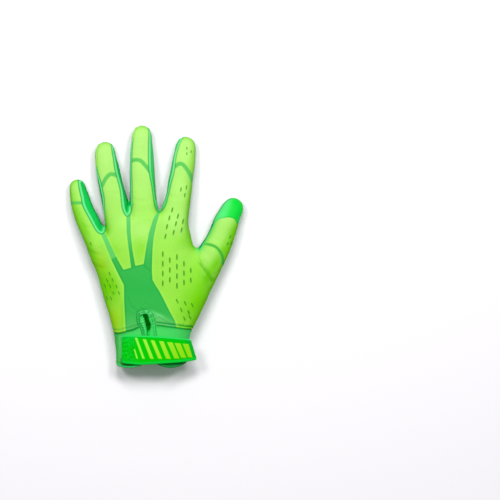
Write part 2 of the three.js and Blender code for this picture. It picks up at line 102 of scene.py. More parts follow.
CUFF_SEAM = [(-70, -84.2), (-44.1, -83.3), (-36, -84.0), (-28.6, -82.2),
             (-22, -80.6), (-15.7, -77.8), (-8, -76.0), (1.9, -76.0), (12, -77.3),
             (22, -78.6), (35.4, -80.2), (70, -81.5)]
TIP_SEAM = [(44, 19.0), (52, 21.6), (56.6, 23.8), (60.6, 26.4), (66.3, 28.0),
            (72, 28.4), (76.4, 26.8), (79.4, 22.6), (84, 17.0), (96, 8)]
HEM = [(-80, -111.0), (-48, -111.6), (-41.2, -113.2), (-36.4, -115.7),
       (-30, -117.2), (-24.0, -117.4), (-17.9, -116.4), (-13.6, -114.6),
       (-11.2, -112.6), (-6, -111.4), (-1.0, -112.2), (1.8, -113.8),
       (8.2, -116.3), (15.6, -117.2), (23.8, -115.7), (30.6, -112.6),
       (36, -110.8), (80, -109.6)]
PALM_HEM_Y = -110.5
SLIT = [(-12.6, -124), (-11.8, -114.6), (-9.4, -108), (-8.0, -98), (-7.7, -86),
        (-7.7, -82.2), (-8.5, -78), (-9.3, -74.6), (-10.2, -71), (-10.9, -68.6),
        (-13.2, -67.4), (-14.6, -67.3), (-13.6, -66.4), (-12.0, -65.6),
        (-9.9, -65.1), (-8.3, -65.0), (-7.2, -66.4), (-6.5, -68.6), (-6.1, -71.2),
        (-5.3, -73.2), (-4.3, -75.2), (-4.5, -77.4), (-5.0, -79.4),
        (-5.9, -82.2), (-6.3, -86), (-5.2, -98), (-3.4, -108), (-0.4, -114.4),
        (0.6, -124)]
BINDING = [(-11.9, -91.5), (-13.4, -82.5), (-15.3, -77.6), (-17.4, -74.4),
           (-18.0, -70.5), (-18.0, -66.2), (-16.6, -63.2), (-13.4, -61.4),
           (-9.4, -60.9), (-5.6, -62.0), (-2.6, -64.9), (-1.0, -68.6),
           (0.0, -73.0), (0.5, -78.6), (0.3, -91.5)]
BACK_ONLY_Z = 14.0
BINDING_END_Y = -89.8

# Gusset edges: down the near edge on the first finger, round the web, up
# the second finger. Each row is a point in plan.
GUSSETS = {
    "little_ring": dict(a="little", b="ring",
        down=[(-75.6, 64.6), (-73.9, 55.4), (-71.9, 47.1), (-70.2, 39.1),
              (-64.9, 28.9), (-58.0, 16.6)],
        web=[(-55.3, 13.6), (-51.9, 12.3), (-49.2, 14.6)],
        up=[(-48.4, 20.2), (-48.9, 29.8), (-49.4, 40.5), (-50.3, 49.8),
            (-52.8, 61.0), (-56.6, 74.9), (-57.1, 89.0)]),
    "ring_middle": dict(a="ring", b="middle",
        down=[(-45.0, 101.2), (-43.6, 99.0), (-41.4, 88.8), (-39.2, 74.9),
              (-37.0, 66.6), (-34.1, 55.4), (-32.5, 40.5)],
        web=[(-31.1, 34.6), (-29.4, 31.2), (-27.2, 29.6), (-25.0, 31.0)],
        up=[(-23.2, 36.6), (-22.7, 50.2), (-23.2, 74.4), (-22.9, 95.0),
            (-21.2, 108.0)]),
    "middle_index": dict(a="middle", b="index",
        down=[(-8.8, 116.6), (-6.6, 110.3), (-6.6, 94.4), (-6.2, 74.9),
              (-3.3, 58.2), (-1.0, 42.5)],
        web=[(0.9, 36.4), (3.8, 33.6), (7.0, 36.2)],
        up=[(10.4, 42.5), (14.3, 58.2), (18.1, 73.2), (19.8, 87.7),
            (23.4, 99.6), (27.6, 106.2)]),
}

# Green printed shape on the back of the hand, as three closed outlines.
TENDONS = {
    "first": [(-53.0, 12.6), (-47.7, 0.4), (-42.3, -13.1), (-37.3, -23.3),
              (-34.0, -30.0), (-30.4, -37.0), (-30.2, -51.7), (-29.7, -62.3),
              (-28.3, -90), (23.6, -90), (21.3, -79.8), (18.9, -71.5),
              (12.9, -60.5), (7.2, -48.9), (3.5, -42.0), (0.3, -37.3),
              (-2.6, -32.0), (-3.2, -24), (-11.2, -16.7), (-19.0, -18.4),
              (-23.2, -20.0), (-30.7, -22.3), (-34.4, -16.0), (-38.6, -8.4),
              (-43.9, 2.9), (-48.6, 13.0)],
    "second": [(-28.2, 36), (-27.6, 13.3), (-25.9, -0.5), (-23.2, -21.5),
               (-19.0, -20), (-22.0, -3.3), (-23.8, 13.3), (-24.1, 36)],
    "third": [(1.6, 38), (1.4, 33.0), (-1.9, 27.3), (-6.2, 13.3), (-8.7, -0.5),
              (-11.4, -18), (-3.2, -26), (-3.1, -14.5), (-2.5, -0.5),
              (-1.2, 10.6), (1.1, 21.7), (4.4, 33.0), (6.0, 38)],
}
PALE_END = [(-43.2, -12.6), (-38.2, -9.6)]    # the first one's paler top ends here
# Printed bands over the knuckles: points in plan and half width.
BANDS = [
    (1.5, [(-84, 42.0), (-76, 42.6), (-68, 42.2)]),
    (1.9, [(-53.5, 57.4), (-51.4, 59.9), (-48.7, 65.4), (-45.3, 69.3),
           (-42.5, 70.5), (-37.0, 69.0)]),
    (1.9, [(-25.5, 82.6), (-22.5, 83.7), (-18.0, 84.3), (-14.2, 83.3),
           (-10.8, 79.9), (-7.5, 76.0), (-5.5, 73.0)]),
    (1.9, [(17.0, 76.6), (19.2, 78.0), (23.2, 80.5), (27.1, 79.3),
           (30.9, 74.4), (34.2, 68.7), (36.0, 64.0)]),
    (1.35, [(45.5, 2.6), (48.9, 2.7), (54.5, 1.6), (59.0, -0.6),
           (62.9, -5.1), (65.2, -10.6), (65.6, -16.5)]),
]
THUMB_EDGE = [(42.2, -4.4), (45.2, -0.2), (50.6, 9.6), (55.2, 18.2),
              (59.6, 26.6), (64.5, 36.0), (60, 44), (50, 24), (43.5, 8), (41.0, -2.5)]
# Oval vents: x, y, lean from the finger direction in degrees, length, width.
def vents():
    rows = []
    def put(points, lean, length=5.2, width=1.45):
        rows.extend((x, y, lean, length, width) for x, y in points)
    put([(16.3, 35.6), (21.9, 29.4), (13.6, 27.8), (26.9, 24.4), (20.0, 22.2),
         (11.3, 19.4), (25.5, 16.1), (17.8, 13.8), (9.8, 9.9)], 13)
    put([(24.8, 55.4), (30.1, 57.4), (28.7, 49.8)], 6, 4.4, 1.1)
    put([(30.4, 95.5), (30.4, 90.3), (34.6, 92.2)], 0, 2.6, 1.0)
    put([(7.3, -7.2 - 9.43 * k) for k in range(4)], 0, 5.6)
    put([(14.1, -13.1 - 9.55 * k) for k in range(3)], 0, 5.6)
    put([(21.0, -10.1 - 9.27 * k) for k in range(4)], 0, 5.8)
    put([(27.8, -16.6 - 9.05 * k) for k in range(3)], -2, 5.4)
    put([(34.4, -23.0), (34.4, -32.4)], -3, 5.0)
    put([(21.2, -52.7), (25.2, -61.2), (29.0, -54.8), (32.4, -63.6),
         (35.9, -56.7), (28.2, -69.6), (33.7, -68.5)], -24, 4.8, 1.2)
    put([(70.0, 2.7), (73.4, 3.2), (72.6, 9.4)], 24, 3.6, 1.1)
    put([(-44.2, -26.3), (-46.5, -33.0), (-41.2, -32.3), (-48.9, -38.2),
         (-43.7, -38.2), (-37.7, -38.7), (-40.7, -44.9), (-35.3, -44.9),
         (-47.1, -50.1), (-43.0, -50.1)], -20, 3.9, 0.95)
    put([(-62.6, 2.7)], -20, 3.6, 1.0)
    return rows

STRAP = [   # upper edge x, y and lower edge x, y
    (-31.2, -85.7, -31.2, -112.7), (-26.4, -85.6, -26.0, -113.4),
    (-21.6, -85.6, -20.6, -113.8), (-16.8, -85.7, -15.8, -114.2),
    (-12.0, -85.9, -11.0, -114.2), (-6.0, -86.1, -4.5, -113.9),
    (0.0, -86.4, 2.0, -113.4), (6.0, -86.8, 8.5, -113.0),
    (12.0, -87.3, 14.5, -112.6), (18.0, -87.9, 21.5, -112.1),
    (23.5, -88.4, 28.0, -111.4), (29.0, -89.0, 34.0, -110.6),
    (33.9, -89.6, 39.9, -109.4)]
STRAP_STRAIGHT_X, STRAP_GAP, STRAP_THICK = 15.0, 0.5, 2.5
# Stripes: top left x, top right x, top y, bottom left x, bottom right x, bottom y.
STRIPES = [
    (-20.3, -19.0, -98.8, -17.8, -16.2, -108.4),
    (-19.4, -17.0, -87.9, -12.2, -9.8, -108.5),
    (-12.0, -8.8, -89.3, -4.7, -1.4, -108.5),
    (-4.4, -0.8, -90.4, 2.9, 6.6, -108.5),
    (3.6, 7.8, -91.2, 10.2, 14.6, -108.5),
    (11.0, 16.3, -92.3, 17.9, 22.8, -108.3),
    (18.1, 23.8, -93.2, 24.5, 29.4, -107.6),
    (25.9, 31.6, -93.8, 31.2, 35.4, -107.2)]


# ------------------------------------------------------------------ curves
def smooth_line(points, step=0.8):
    """Catmull-Rom through the points, at about one point every step mm."""
    p = np.array(points, float)
    q = np.vstack([2 * p[0] - p[1], p, 2 * p[-1] - p[-2]])
    out = []
    for i in range(1, len(q) - 2):
        n = max(2, int(np.linalg.norm(q[i + 1] - q[i]) / step))
        t = np.linspace(0, 1, n, endpoint=False)[:, None]
        a, b, c, d = q[i - 1], q[i], q[i + 1], q[i + 2]
        out.append(0.5 * (2 * b + (c - a) * t + (2 * a - 5 * b + 4 * c - d) * t ** 2
                          + (3 * b - a - 3 * c + d) * t ** 3))
    out.append(p[-1:])
    return np.vstack(out)


def seg_dist(line, x, y, closed=False, reach=16.0):
    """Distance in plan from (x, y) to a polyline, at most reach."""
    a = line if closed else line[:-1]
    b = np.roll(line, -1, 0) if closed else line[1:]
    shape = x.shape
    x, y = x.ravel(), y.ravel()
    best = np.full(x.shape, reach * reach)
    for k in range(0, len(a), 10):
        ga, gb = a[k:k + 10], b[k:k + 10]
        lo = np.minimum(ga.min(0), gb.min(0)) - reach
        hi = np.maximum(ga.max(0), gb.max(0)) + reach
        i = np.where((x > lo[0]) & (x < hi[0]) & (y > lo[1]) & (y < hi[1]))[0]
        if not len(i):
            continue
        xi, yi, bi = x[i], y[i], best[i]
        for (ax, ay), (bx, by) in zip(ga, gb):
            dx, dy = bx - ax, by - ay
            l2 = dx * dx + dy * dy
            if l2 < 1e-9:
                continue
            t = np.clip(((xi - ax) * dx + (yi - ay) * dy) / l2, 0, 1)
            bi = np.minimum(bi, (xi - ax - t * dx) ** 2 + (yi - ay - t * dy) ** 2)
        best[i] = bi
    return np.sqrt(best).reshape(shape)


def poly_dist(line, x, y):
    """Signed distance to a closed outline, negative inside."""
    shape = x.shape
    xf, yf = x.ravel(), y.ravel()
    inside = np.zeros(xf.shape, bool)
    b = np.roll(line, -1, 0)
    for k in range(0, len(line), 10):
        ga, gb = line[k:k + 10], b[k:k + 10]
        lo = np.minimum(ga.min(0), gb.min(0))
        hi = np.maximum(ga.max(0), gb.max(0))
        i = np.where((xf < hi[0]) & (yf > lo[1] - 1e-9) & (yf < hi[1] + 1e-9))[0]
        if not len(i):
            continue
        xi, yi, ins = xf[i], yf[i], inside[i]
        for (ax, ay), (bx, by) in zip(ga, gb):
            if ay == by:
                continue
            ins ^= ((ay > yi) != (by > yi)) & (xi < (bx - ax) * (yi - ay) / (by - ay) + ax)
        inside[i] = ins
    d = seg_dist(line, x, y, closed=True)
    return np.where(inside.reshape(shape), -d, d)


def rows_at(rows, n):
    """Rows of a table resampled smoothly along their length in plan."""
    r = np.array(rows, float)
    s = np.concatenate([[0], np.cumsum(np.hypot(*np.diff(r[:, :2], axis=0).T))])
    t = np.linspace(0, s[-1], n)
    slope = np.gradient(r, s, axis=0)
    i = np.clip(np.searchsorted(s, t, side="right") - 1, 0, len(s) - 2)
    h = (s[i + 1] - s[i])[:, None]
    u = ((t - s[i])[:, None]) / h
    return ((2 * u ** 3 - 3 * u ** 2 + 1) * r[i] + (u ** 3 - 2 * u ** 2 + u) * h * slope[i]
            + (-2 * u ** 3 + 3 * u ** 2) * r[i + 1] + (u ** 3 - u ** 2) * h * slope[i + 1])


def step01(x, lo, hi):
    t = np.clip((x - lo) / (hi - lo), 0, 1)
    return t * t * (3 - 2 * t)


# ------------------------------------------------------------------ field
TUBE = {}
for _name, _rows in FINGERS.items():
    _body = rows_at(_rows[:-1], 48)
    _end = _body[-1, :2] - _body[-2, :2]
    _end /= np.linalg.norm(_end)
    _tip = np.array(_rows[-1][:2])
    TUBE[_name] = dict(body=_body, cap=float(np.linalg.norm(_tip - _body[-1, :2])),
                       tip_z=_rows[-1][3], tip_dir=(_tip - _body[-1, :2]) / np.linalg.norm(_tip - _body[-1, :2]))


def tube_plan(name, x, y):
    """Per plan point: offset across (+ to the thumb side), half width, half
    thickness, middle height, run past the last full section as a share of
    the cap, and the distance along the tube."""
    t = TUBE[name]
    b = t["body"]
    best = np.full(x.shape, 1e18)
    s = np.zeros(x.shape)
    for i in range(len(b) - 1):
        ax, ay = b[i, :2]
        dx, dy = b[i + 1, :2] - b[i, :2]
        u = np.clip(((x - ax) * dx + (y - ay) * dy) / (dx * dx + dy * dy), 0, 1)
        d = (x - ax - u * dx) ** 2 + (y - ay - u * dy) ** 2
        near = d < best
        best = np.where(near, d, best)
        s = np.where(near, i + u, s)
    i = np.clip(s.astype(int), 0, len(b) - 2)
    f = s - i
    row = b[i] * (1 - f)[..., None] + b[i + 1] * f[..., None]
    d = b[i + 1, :2] - b[i, :2]
    d = d / np.linalg.norm(d, axis=-1)[..., None]
    ox, oy = x - row[..., 0], y - row[..., 1]
    across = ox * d[..., 1] - oy * d[..., 0]
    # past the last full section
    td = t["tip_dir"]
    past = np.maximum((x - b[-1, 0]) * td[0] + (y - b[-1, 1]) * td[1], 0)
    atend = s > len(b) - 1.001
    across = np.where(atend, (x - b[-1, 0]) * td[1] - (y - b[-1, 1]) * td[0], across)
    past = np.where(atend, past, 0)
    d0 = b[1, :2] - b[0, :2]
    d0 = d0 / np.linalg.norm(d0)
    back = np.maximum(-((x - b[0, 0]) * d0[0] + (y - b[0, 1]) * d0[1]), 0)
    back = np.where(s < 1e-3, back, 0)
    cap = past / t["cap"] + back / 10.0
    z = row[..., 3] + (t["tip_z"] - b[-1, 3]) * np.clip(past / t["cap"], 0, 1)
    return dict(u=across, a=row[..., 2] / 2, b=row[..., 4] / 2, z=z, cap=cap,
                along=s, past=past)


_hand = np.array(HAND, float)
_web = smooth_line(WEB, 2.0)


def hand_rows(y):
    s = _hand[:, 0]
    out = []
    for k in range(1, 5):
        slope = np.gradient(_hand[:, k], s)
        i = np.clip(np.searchsorted(s, y, side="right") - 1, 0, len(s) - 2)
        h = s[i + 1] - s[i]
        u = np.clip((y - s[i]) / h, 0, 1)
        out.append((2 * u ** 3 - 3 * u ** 2 + 1) * _hand[i, k] + (u ** 3 - 2 * u ** 2 + u) * h * slope[i]
                   + (-2 * u ** 3 + 3 * u ** 2) * _hand[i + 1, k] + (u ** 3 - u ** 2) * h * slope[i + 1])
    return out


def hand_plan(x, y):
    xl, xr, low, top = hand_rows(y)
    d = seg_dist(_web, x, y)
    above = y > np.interp(x, _web[:, 0], _web[:, 1])
    inside = np.where(above, -d, d)
    cap = np.clip((WEB_ROUND - inside) / WEB_ROUND, 0, None)
    return dict(u=x - (xl + xr) / 2, a=(xr - xl) / 2, b=(top - low) / 2,
                z=(top + low) / 2, cap=cap)


def solid_dist(p, z, power):
    """First-order distance to a superellipse tube from its plan terms."""
    sh = np.broadcast(p["u"][..., None], z).shape
    U = np.abs(p["u"] / p["a"])[..., None]
    W = p["cap"][..., None]
    V = np.abs((z - p["z"][..., None]) / p["b"][..., None])
    s = U ** power + V ** power + W ** power + 1e-6
    f = s ** (1 / power)
    k = power - 1
    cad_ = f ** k
    gu = U ** k / p["a"][..., None]
    gv = V ** k / p["b"][..., None]
    gw = W ** k / 12.0
    g = np.sqrt(gu * gu + gv * gv + gw * gw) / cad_
    return np.broadcast_to((f - 1) / np.maximum(g, 1e-3), sh)


def smin(a, b, k):
    h = np.clip(0.5 + 0.5 * (b - a) / k, 0, 1)
    return b + (a - b) * h - k * h * (1 - h)


CELL = 1.1
gx = np.arange(-90.0, 90.6, CELL)
gy = np.arange(-124.0, 124.0, CELL)
gz = np.arange(-3.0, 38.0, CELL)
X2, Y2 = np.meshgrid(gx, gy, indexing="ij")
Z3 = gz[None, None, :]


def build_field():
    hp = hand_plan(X2, Y2)
    hand = solid_dist(hp, Z3, HAND_POWER).astype(np.float32)
    fingers = np.full(hand.shape, 60.0, np.float32)
    for name in FINGERS:
        b = TUBE[name]["body"]
        tip = FINGERS[name][-1]
        lo = np.minimum(b[:, :2].min(0), tip[:2]) - 30
        hi = np.maximum(b[:, :2].max(0), tip[:2]) + 30
        ix = np.where((gx > lo[0]) & (gx < hi[0]))[0]
        iy = np.where((gy > lo[1]) & (gy < hi[1]))[0]
        sl = np.ix_(ix, iy)
        p = tube_plan(name, X2[sl], Y2[sl])
        d = solid_dist(p, Z3, FINGER_POWER).astype(np.float32)
        if name == "thumb":
            hand[ix[0]:ix[-1] + 1, iy[0]:iy[-1] + 1] = smin(
                hand[ix[0]:ix[-1] + 1, iy[0]:iy[-1] + 1], d, 9.0)
        else:
            cut = fingers[ix[0]:ix[-1] + 1, iy[0]:iy[-1] + 1]
            fingers[ix[0]:ix[-1] + 1, iy[0]:iy[-1] + 1] = smin(cut, d, 2.2)
    d = smin(hand, fingers, 6.0)
    return -smin(-d, Z3.astype(np.float32) + np.zeros_like(d), FLOOR_ROUND)


D = build_field()
GRAD = [np.gradient(D, CELL, axis=k) for k in range(3)]


def sample(A, P):
    q = (P - np.array([gx[0], gy[0], gz[0]])) / CELL
    n = np.array(A.shape) - 2
    i = np.clip(np.floor(q).astype(int), 0, n)
    f = np.clip(q - i, 0, 1)
    out = 0
    for c in range(8):
        o = np.array([c >> 2 & 1, c >> 1 & 1, c & 1])
        w = np.prod(np.where(o, f, 1 - f), axis=1)
        j = i + o
        out = out + w * A[j[:, 0], j[:, 1], j[:, 2]]
    return out


def skin_normal(P):
    g = np.stack([sample(G, P) for G in GRAD], 1)
    return g / np.maximum(np.linalg.norm(g, axis=1), 1e-6)[:, None]


def to_skin(P, rounds=2):
    for _ in range(rounds):
        g = np.stack([sample(G, P) for G in GRAD], 1)
        l = np.maximum((g * g).sum(1), 0.05)
        P = P - (sample(D, P) / l)[:, None] * g
    return P


def mesh_field(step):
    """Surface nets: one vertex a cell that the skin passes through."""
    D_ = D[::step, ::step, ::step]
    s = D_ < 0
    n = D_.shape
    corner = [(a, b, c) for a in (0, 1) for b in (0, 1) for c in (0, 1)]
    def at(A, o):
        return A[o[0]:n[0] - 1 + o[0], o[1]:n[1] - 1 + o[1], o[2]:n[2] - 1 + o[2]]
    total = sum(at(s, o).astype(np.int8) for o in corner)
    cells = np.argwhere((total > 0) & (total < 8))
    index = -np.ones(total.shape, np.int64)
    index[cells[:, 0], cells[:, 1], cells[:, 2]] = np.arange(len(cells))
    vals = [D_[cells[:, 0] + o[0], cells[:, 1] + o[1], cells[:, 2] + o[2]] for o in corner]
    acc = np.zeros((len(cells), 3)); cnt = np.zeros(len(cells))
    for i, a in enumerate(corner):
        for j, b in enumerate(corner):
            if j <= i or sum(x != y for x, y in zip(a, b)) != 1:
                continue
            cross = (vals[i] < 0) != (vals[j] < 0)
            den = np.where(cross, vals[i] - vals[j], 1)
            t = np.where(cross, vals[i] / den, 0)
            p = np.array(a) + t[:, None] * (np.array(b) - np.array(a))
            acc += np.where(cross[:, None], p, 0)
            cnt += cross
    V = np.array([gx[0], gy[0], gz[0]]) + CELL * step * (cells + acc / cnt[:, None])
    quads = []
    for ax in range(3):
        o1, o2 = (ax + 1) % 3, (ax + 2) % 3
        lo = [slice(None)] * 3; hi = [slice(None)] * 3
        lo[ax] = slice(0, -1); hi[ax] = slice(1, None)
        e = np.argwhere(s[tuple(lo)] != s[tuple(hi)])
        ok = np.all(e > 0, axis=1) | ((e[:, o1] > 0) & (e[:, o2] > 0))
        e = e[ok & (e[:, o1] < n[o1] - 1) & (e[:, o2] < n[o2] - 1)]
        flip = s[e[:, 0], e[:, 1], e[:, 2]]
        d1 = np.zeros(3, int); d1[o1] = 1
        d2 = np.zeros(3, int); d2[o2] = 1
        def cell(v):
            return index[v[:, 0], v[:, 1], v[:, 2]]
        q = np.stack([cell(e - d1 - d2), cell(e - d2), cell(e), cell(e - d1)], 1)
        q[~flip] = q[~flip][:, ::-1]
        quads.append(q)
    Q = np.vstack(quads)
    Q = Q[(Q >= 0).all(1)]
    return V, Q


def relax(V, Q, rounds=3):
    e = np.vstack([Q[:, [k, (k + 1) % 4]] for k in range(4)])
    for _ in range(rounds):
        acc = np.zeros_like(V); cnt = np.zeros(len(V))
        for a, b in ((0, 1), (1, 0)):
            np.add.at(acc, e[:, a], V[e[:, b]])
            np.add.at(cnt, e[:, a], 1)
        V = V + 0.5 * (acc / cnt[:, None] - V)
        V = to_skin(V, 2)
    return V



# ------------------------------------------------------------------ seams
def line_below(points):
    l = smooth_line(points)
    return np.vstack([l, [[l[-1, 0], -300], [l[0, 0], -300]]])


LINES = dict(
    cuff=line_below(CUFF_SEAM), hem=line_below(HEM),
    tip=np.vstack([smooth_line(TIP_SEAM), [[110, 60], [44, 60]]]),
    slit=smooth_line(SLIT + [SLIT[0]], 0.6)[:-1],
    binding=smooth_line(BINDING + [BINDING[0]], 0.8)[:-1])
GUSSET_LINE = {}
for _n, _g in GUSSETS.items():
    _pts = smooth_line(_g["down"] + _g["web"] + _g["up"], 0.9)
    GUSSET_LINE[_n] = _pts


def near_tube(name, x, y, reach):
    b = TUBE[name]["body"][:, :2]
    tip = np.array(FINGERS[name][-1][:2])
    lo = np.minimum(b.min(0), tip) - reach
    hi = np.maximum(b.max(0), tip) + reach
    return np.where((x > lo[0]) & (x < hi[0]) & (y > lo[1]) & (y < hi[1]))[0]


def split_height(x, y):
    """Height of the side seam, a little below the middle of each tube."""
    p = hand_plan(x, y)
    total = np.exp(-7 * (np.abs(p["u"] / p["a"]) ** 2 + p["cap"] ** 2)) + 1e-9
    acc = total * 14.6
    for name in FINGERS:
        i = near_tube(name, x, y, 24)
        p = tube_plan(name, x[i], y[i])
        w = np.exp(-7 * (np.abs(p["u"] / p["a"]) ** 2 + p["cap"] ** 2)) + 1e-12
        total[i] += w
        acc[i] += w * p["z"]
    return acc / total - SEAM_DROP


def gusset_field(name, P):
    """Negative inside a gusset. Near the web it follows the plan line; up
    the fingers it follows the line's angle round each finger."""
    g = GUSSETS[name]
    x, y, z = P.T
    line = GUSSET_LINE[name]
    closed = np.vstack([line, [[line[-1, 0], 140], [line[0, 0], 140]]])
    out = poly_dist(closed, x, y)
    low = min(p[1] for p in g["web"])
    for finger, side, pts in ((g["a"], 1, g["down"]), (g["b"], -1, g["up"])):
        i = near_tube(finger, x, y, 20)
        i = i[y[i] > low + 3]
        p = tube_plan(finger, x[i], y[i])
        U = side * p["u"] / p["a"]
        V = (z[i] - p["z"]) / p["b"]
        ang = np.arctan2(V, U)
        q = smooth_line(pts, 1.0)
        pq = tube_plan(finger, q[:, 0], q[:, 1])
        c = side * pq["u"] / pq["a"] / np.sqrt(np.maximum(1 - pq["cap"] ** 2, 0.05))
        c = np.clip(c, -0.5, 0.975)
        top = np.arctan2((1 - np.abs(c) ** FINGER_POWER) ** (1 / FINGER_POWER), c)
        s = pq["along"] + pq["past"] * 0.5
        order = np.argsort(s)
        lim = np.interp(p["along"] + p["past"] * 0.5, s[order], top[order])
        f = np.maximum(ang - lim, -1.9 - ang) * 0.5 * (p["a"] + p["b"])
        f = np.maximum(f, p["past"] - 0.93 * TUBE[finger]["cap"])
        own = np.abs(p["u"]) < p["a"] * 1.3
        w = step01(y[i], low + 9, low + 15) * own
        out[i] = out[i] * (1 - w) + f * w
    return out


def fields(P):
    """Signed distances to every seam, negative on the named piece's side."""
    x, y, z = P.T
    k = step01(z, 9, 21)
    hem = poly_dist(LINES["hem"], x, y) * k + (y - PALM_HEM_Y) * (1 - k)
    back = BACK_ONLY_Z - z
    out = dict(hem=hem,
               slit=np.maximum(poly_dist(LINES["slit"], x, y), back),
               binding=np.maximum(np.maximum(poly_dist(LINES["binding"], x, y), back),
                                  BINDING_END_Y - y),
               cuff=poly_dist(LINES["cuff"], x, y), tip=poly_dist(LINES["tip"], x, y),
               side=z - split_height(x, y))
    for n in GUSSETS:
        out["g_" + n] = gusset_field(n, P)
    return np.stack([out[k] for k in KEYS], 1)


KEYS = ["hem", "slit", "binding", "cuff", "tip", "side"] + ["g_" + n for n in GUSSETS]


def split_mesh(V, S, F, k, eps=0.07):
    """Cuts triangles along the zero line of column k of S."""
    f = np.where(np.abs(S[:, k]) < eps, 0, S[:, k])
    S[:, k] = f
    sg = np.sign(f[F])
    crossing = (sg.min(1) < 0) & (sg.max(1) > 0)
    keep, T = F[~crossing], F[crossing]
    if not len(T):
        return V, S, F
    e = np.sort(np.vstack([T[:, [0, 1]], T[:, [1, 2]], T[:, [2, 0]]]), axis=1)
    cut = (f[e[:, 0]] * f[e[:, 1]]) < 0
    ue, inv = np.unique(e[cut], axis=0, return_inverse=True)
    t = (f[ue[:, 0]] / (f[ue[:, 0]] - f[ue[:, 1]]))[:, None]
    new_s = S[ue[:, 0]] * (1 - t) + S[ue[:, 1]] * t
    new_s[:, k] = 0
    mid = np.full(len(e), -1)
    mid[np.where(cut)[0]] = len(V) + inv.reshape(-1)
    m = mid.reshape(3, -1).T
    V = np.vstack([V, V[ue[:, 0]] * (1 - t) + V[ue[:, 1]] * t])
    return V, np.vstack([S, new_s]), np.vstack([keep, divide(T, m)])


def divide(T, m):
    """Triangles T with new points m on edges 01, 12 and 20, or -1."""
    out = []
    n = (m >= 0).sum(1)
    for k in range(3):
        r = np.where((n == 1) & (m[:, k] >= 0))[0]
        a, b, c, p = T[r, k], T[r, (k + 1) % 3], T[r, (k + 2) % 3], m[r, k]
        out += [np.stack([a, p, c], 1), np.stack([p, b, c], 1)]
        r = np.where((n == 2) & (m[:, k] < 0))[0]
        a, b, c = T[r, k], T[r, (k + 1) % 3], T[r, (k + 2) % 3]
        p, q = m[r, (k + 1) % 3], m[r, (k + 2) % 3]
        out += [np.stack([a, b, p], 1), np.stack([a, p, q], 1), np.stack([q, p, c], 1)]
    r = np.where(n == 3)[0]
    a, b, c = T[r].T
    p, q, o = m[r].T
    out += [np.stack([a, p, o], 1), np.stack([p, b, q], 1),
            np.stack([o, q, c], 1), np.stack([p, q, o], 1), T[n == 0]]
    return np.vstack(out)


VENTS = np.array(vents())


def vent_dist(x, y):
    """Signed distance to the nearest vent, at most 4."""
    out = np.full(x.shape, 4.0)
    for vx, vy, lean, length, width in VENTS:
        i = np.where((np.abs(x - vx) < 6.5) & (np.abs(y - vy) < 6.5))[0]
        s, c = math.sin(math.radians(lean)), math.cos(math.radians(lean))
        u = ((x[i] - vx) * s + (y[i] - vy) * c) / (length / 2)
        v = ((x[i] - vx) * c - (y[i] - vy) * s) / (width / 2)
        r = np.sqrt(np.abs(u) ** 2 + v * v) + 1e-6
        g = np.sqrt((u / (length / 2)) ** 2 + (v / (width / 2)) ** 2) / r
        out[i] = np.minimum(out[i], (r - 1) / np.maximum(g, 1e-3))
    return out


def target(P, S):
    """Edge length wanted at a place, in mm."""
    d = np.abs(S)
    top = S[:, 5] > -0.5
    t = np.full(len(P), 2.4)
    t = np.where(top & (d[:, 6:].min(1) < 1.3), 0.62, t)
    t = np.where(top & (d[:, 3] < 3.6), 0.62, t)
    t = np.where((d[:, 4] < 1.3) & top, 0.62, t)
    t = np.where(d[:, 5] < 0.9, 0.9, t)
    t = np.where(d[:, 0] < 3.2, 0.75, t)
    t = np.where((S[:, 2] < 1.0) & (S[:, 1] > -0.8), 0.42, t)
    v = vent_dist(P[:, 0], P[:, 1])
    return np.where(top & (v < 0.55), 0.4, t)


def refine(V, S, F, rounds):
    """Halves long edges at their middle."""
    for _ in range(rounds):
        e = np.sort(np.vstack([F[:, [0, 1]], F[:, [1, 2]], F[:, [2, 0]]]), axis=1)
        ue, inv = np.unique(e, axis=0, return_inverse=True)
        mid = 0.5 * (V[ue[:, 0]] + V[ue[:, 1]])
        ms = 0.5 * (S[ue[:, 0]] + S[ue[:, 1]])
        hit = np.linalg.norm(V[ue[:, 0]] - V[ue[:, 1]], axis=1) > 1.35 * target(mid, ms)
        if not hit.any():
            break
        idx = np.full(len(ue), -1)
        idx[hit] = len(V) + np.arange(hit.sum())
        V = np.vstack([V, to_skin(mid[hit], 1)])
        S = np.vstack([S, ms[hit]])
        F = divide(F, idx[inv.reshape(-1)].reshape(3, -1).T)
    return V, S, F


NODES = ["back_panel", "palm_panel", "cuff", "slit_binding", "thumb_tip"] + \
        ["fourchette_" + n for n in GUSSETS]


def label(S, F):
    m = S[F].mean(1)
    lab = np.zeros(len(F), int)
    lab[m[:, 5] < 0] = 1
    for k in range(3):
        lab[(m[:, 6 + k] < 0) & (m[:, 5] > 0)] = 5 + k
    lab[m[:, 4] < 0] = 4
    lab[m[:, 3] < 0] = 2
    lab[m[:, 2] < 0] = 3
    lab[(m[:, 0] < 0) | (m[:, 1] < 0)] = -1
    # islands join the panel round them
    e = np.vstack([F[:, [0, 1]], F[:, [1, 2]], F[:, [2, 0]]])
    for k in range(2, len(NODES)):
        tri = np.where(lab == k)[0]
        verts, inv = np.unique(F[tri], return_inverse=True)
        T = inv.reshape(-1, 3)
        root = np.arange(len(verts))
        while True:
            low = root[T].min(1)
            new = root.copy()
            np.minimum.at(new, T.ravel(), np.repeat(low, 3))
            new = new[new]
            if (new == root).all():
                break
            root = new
        comp = root[T[:, 0]]
        names, count = np.unique(comp, return_counts=True)
        stray = tri[comp != names[count.argmax()]]
        lab[stray] = np.where(m[stray, 5] > 0, 0, 1)
    return lab


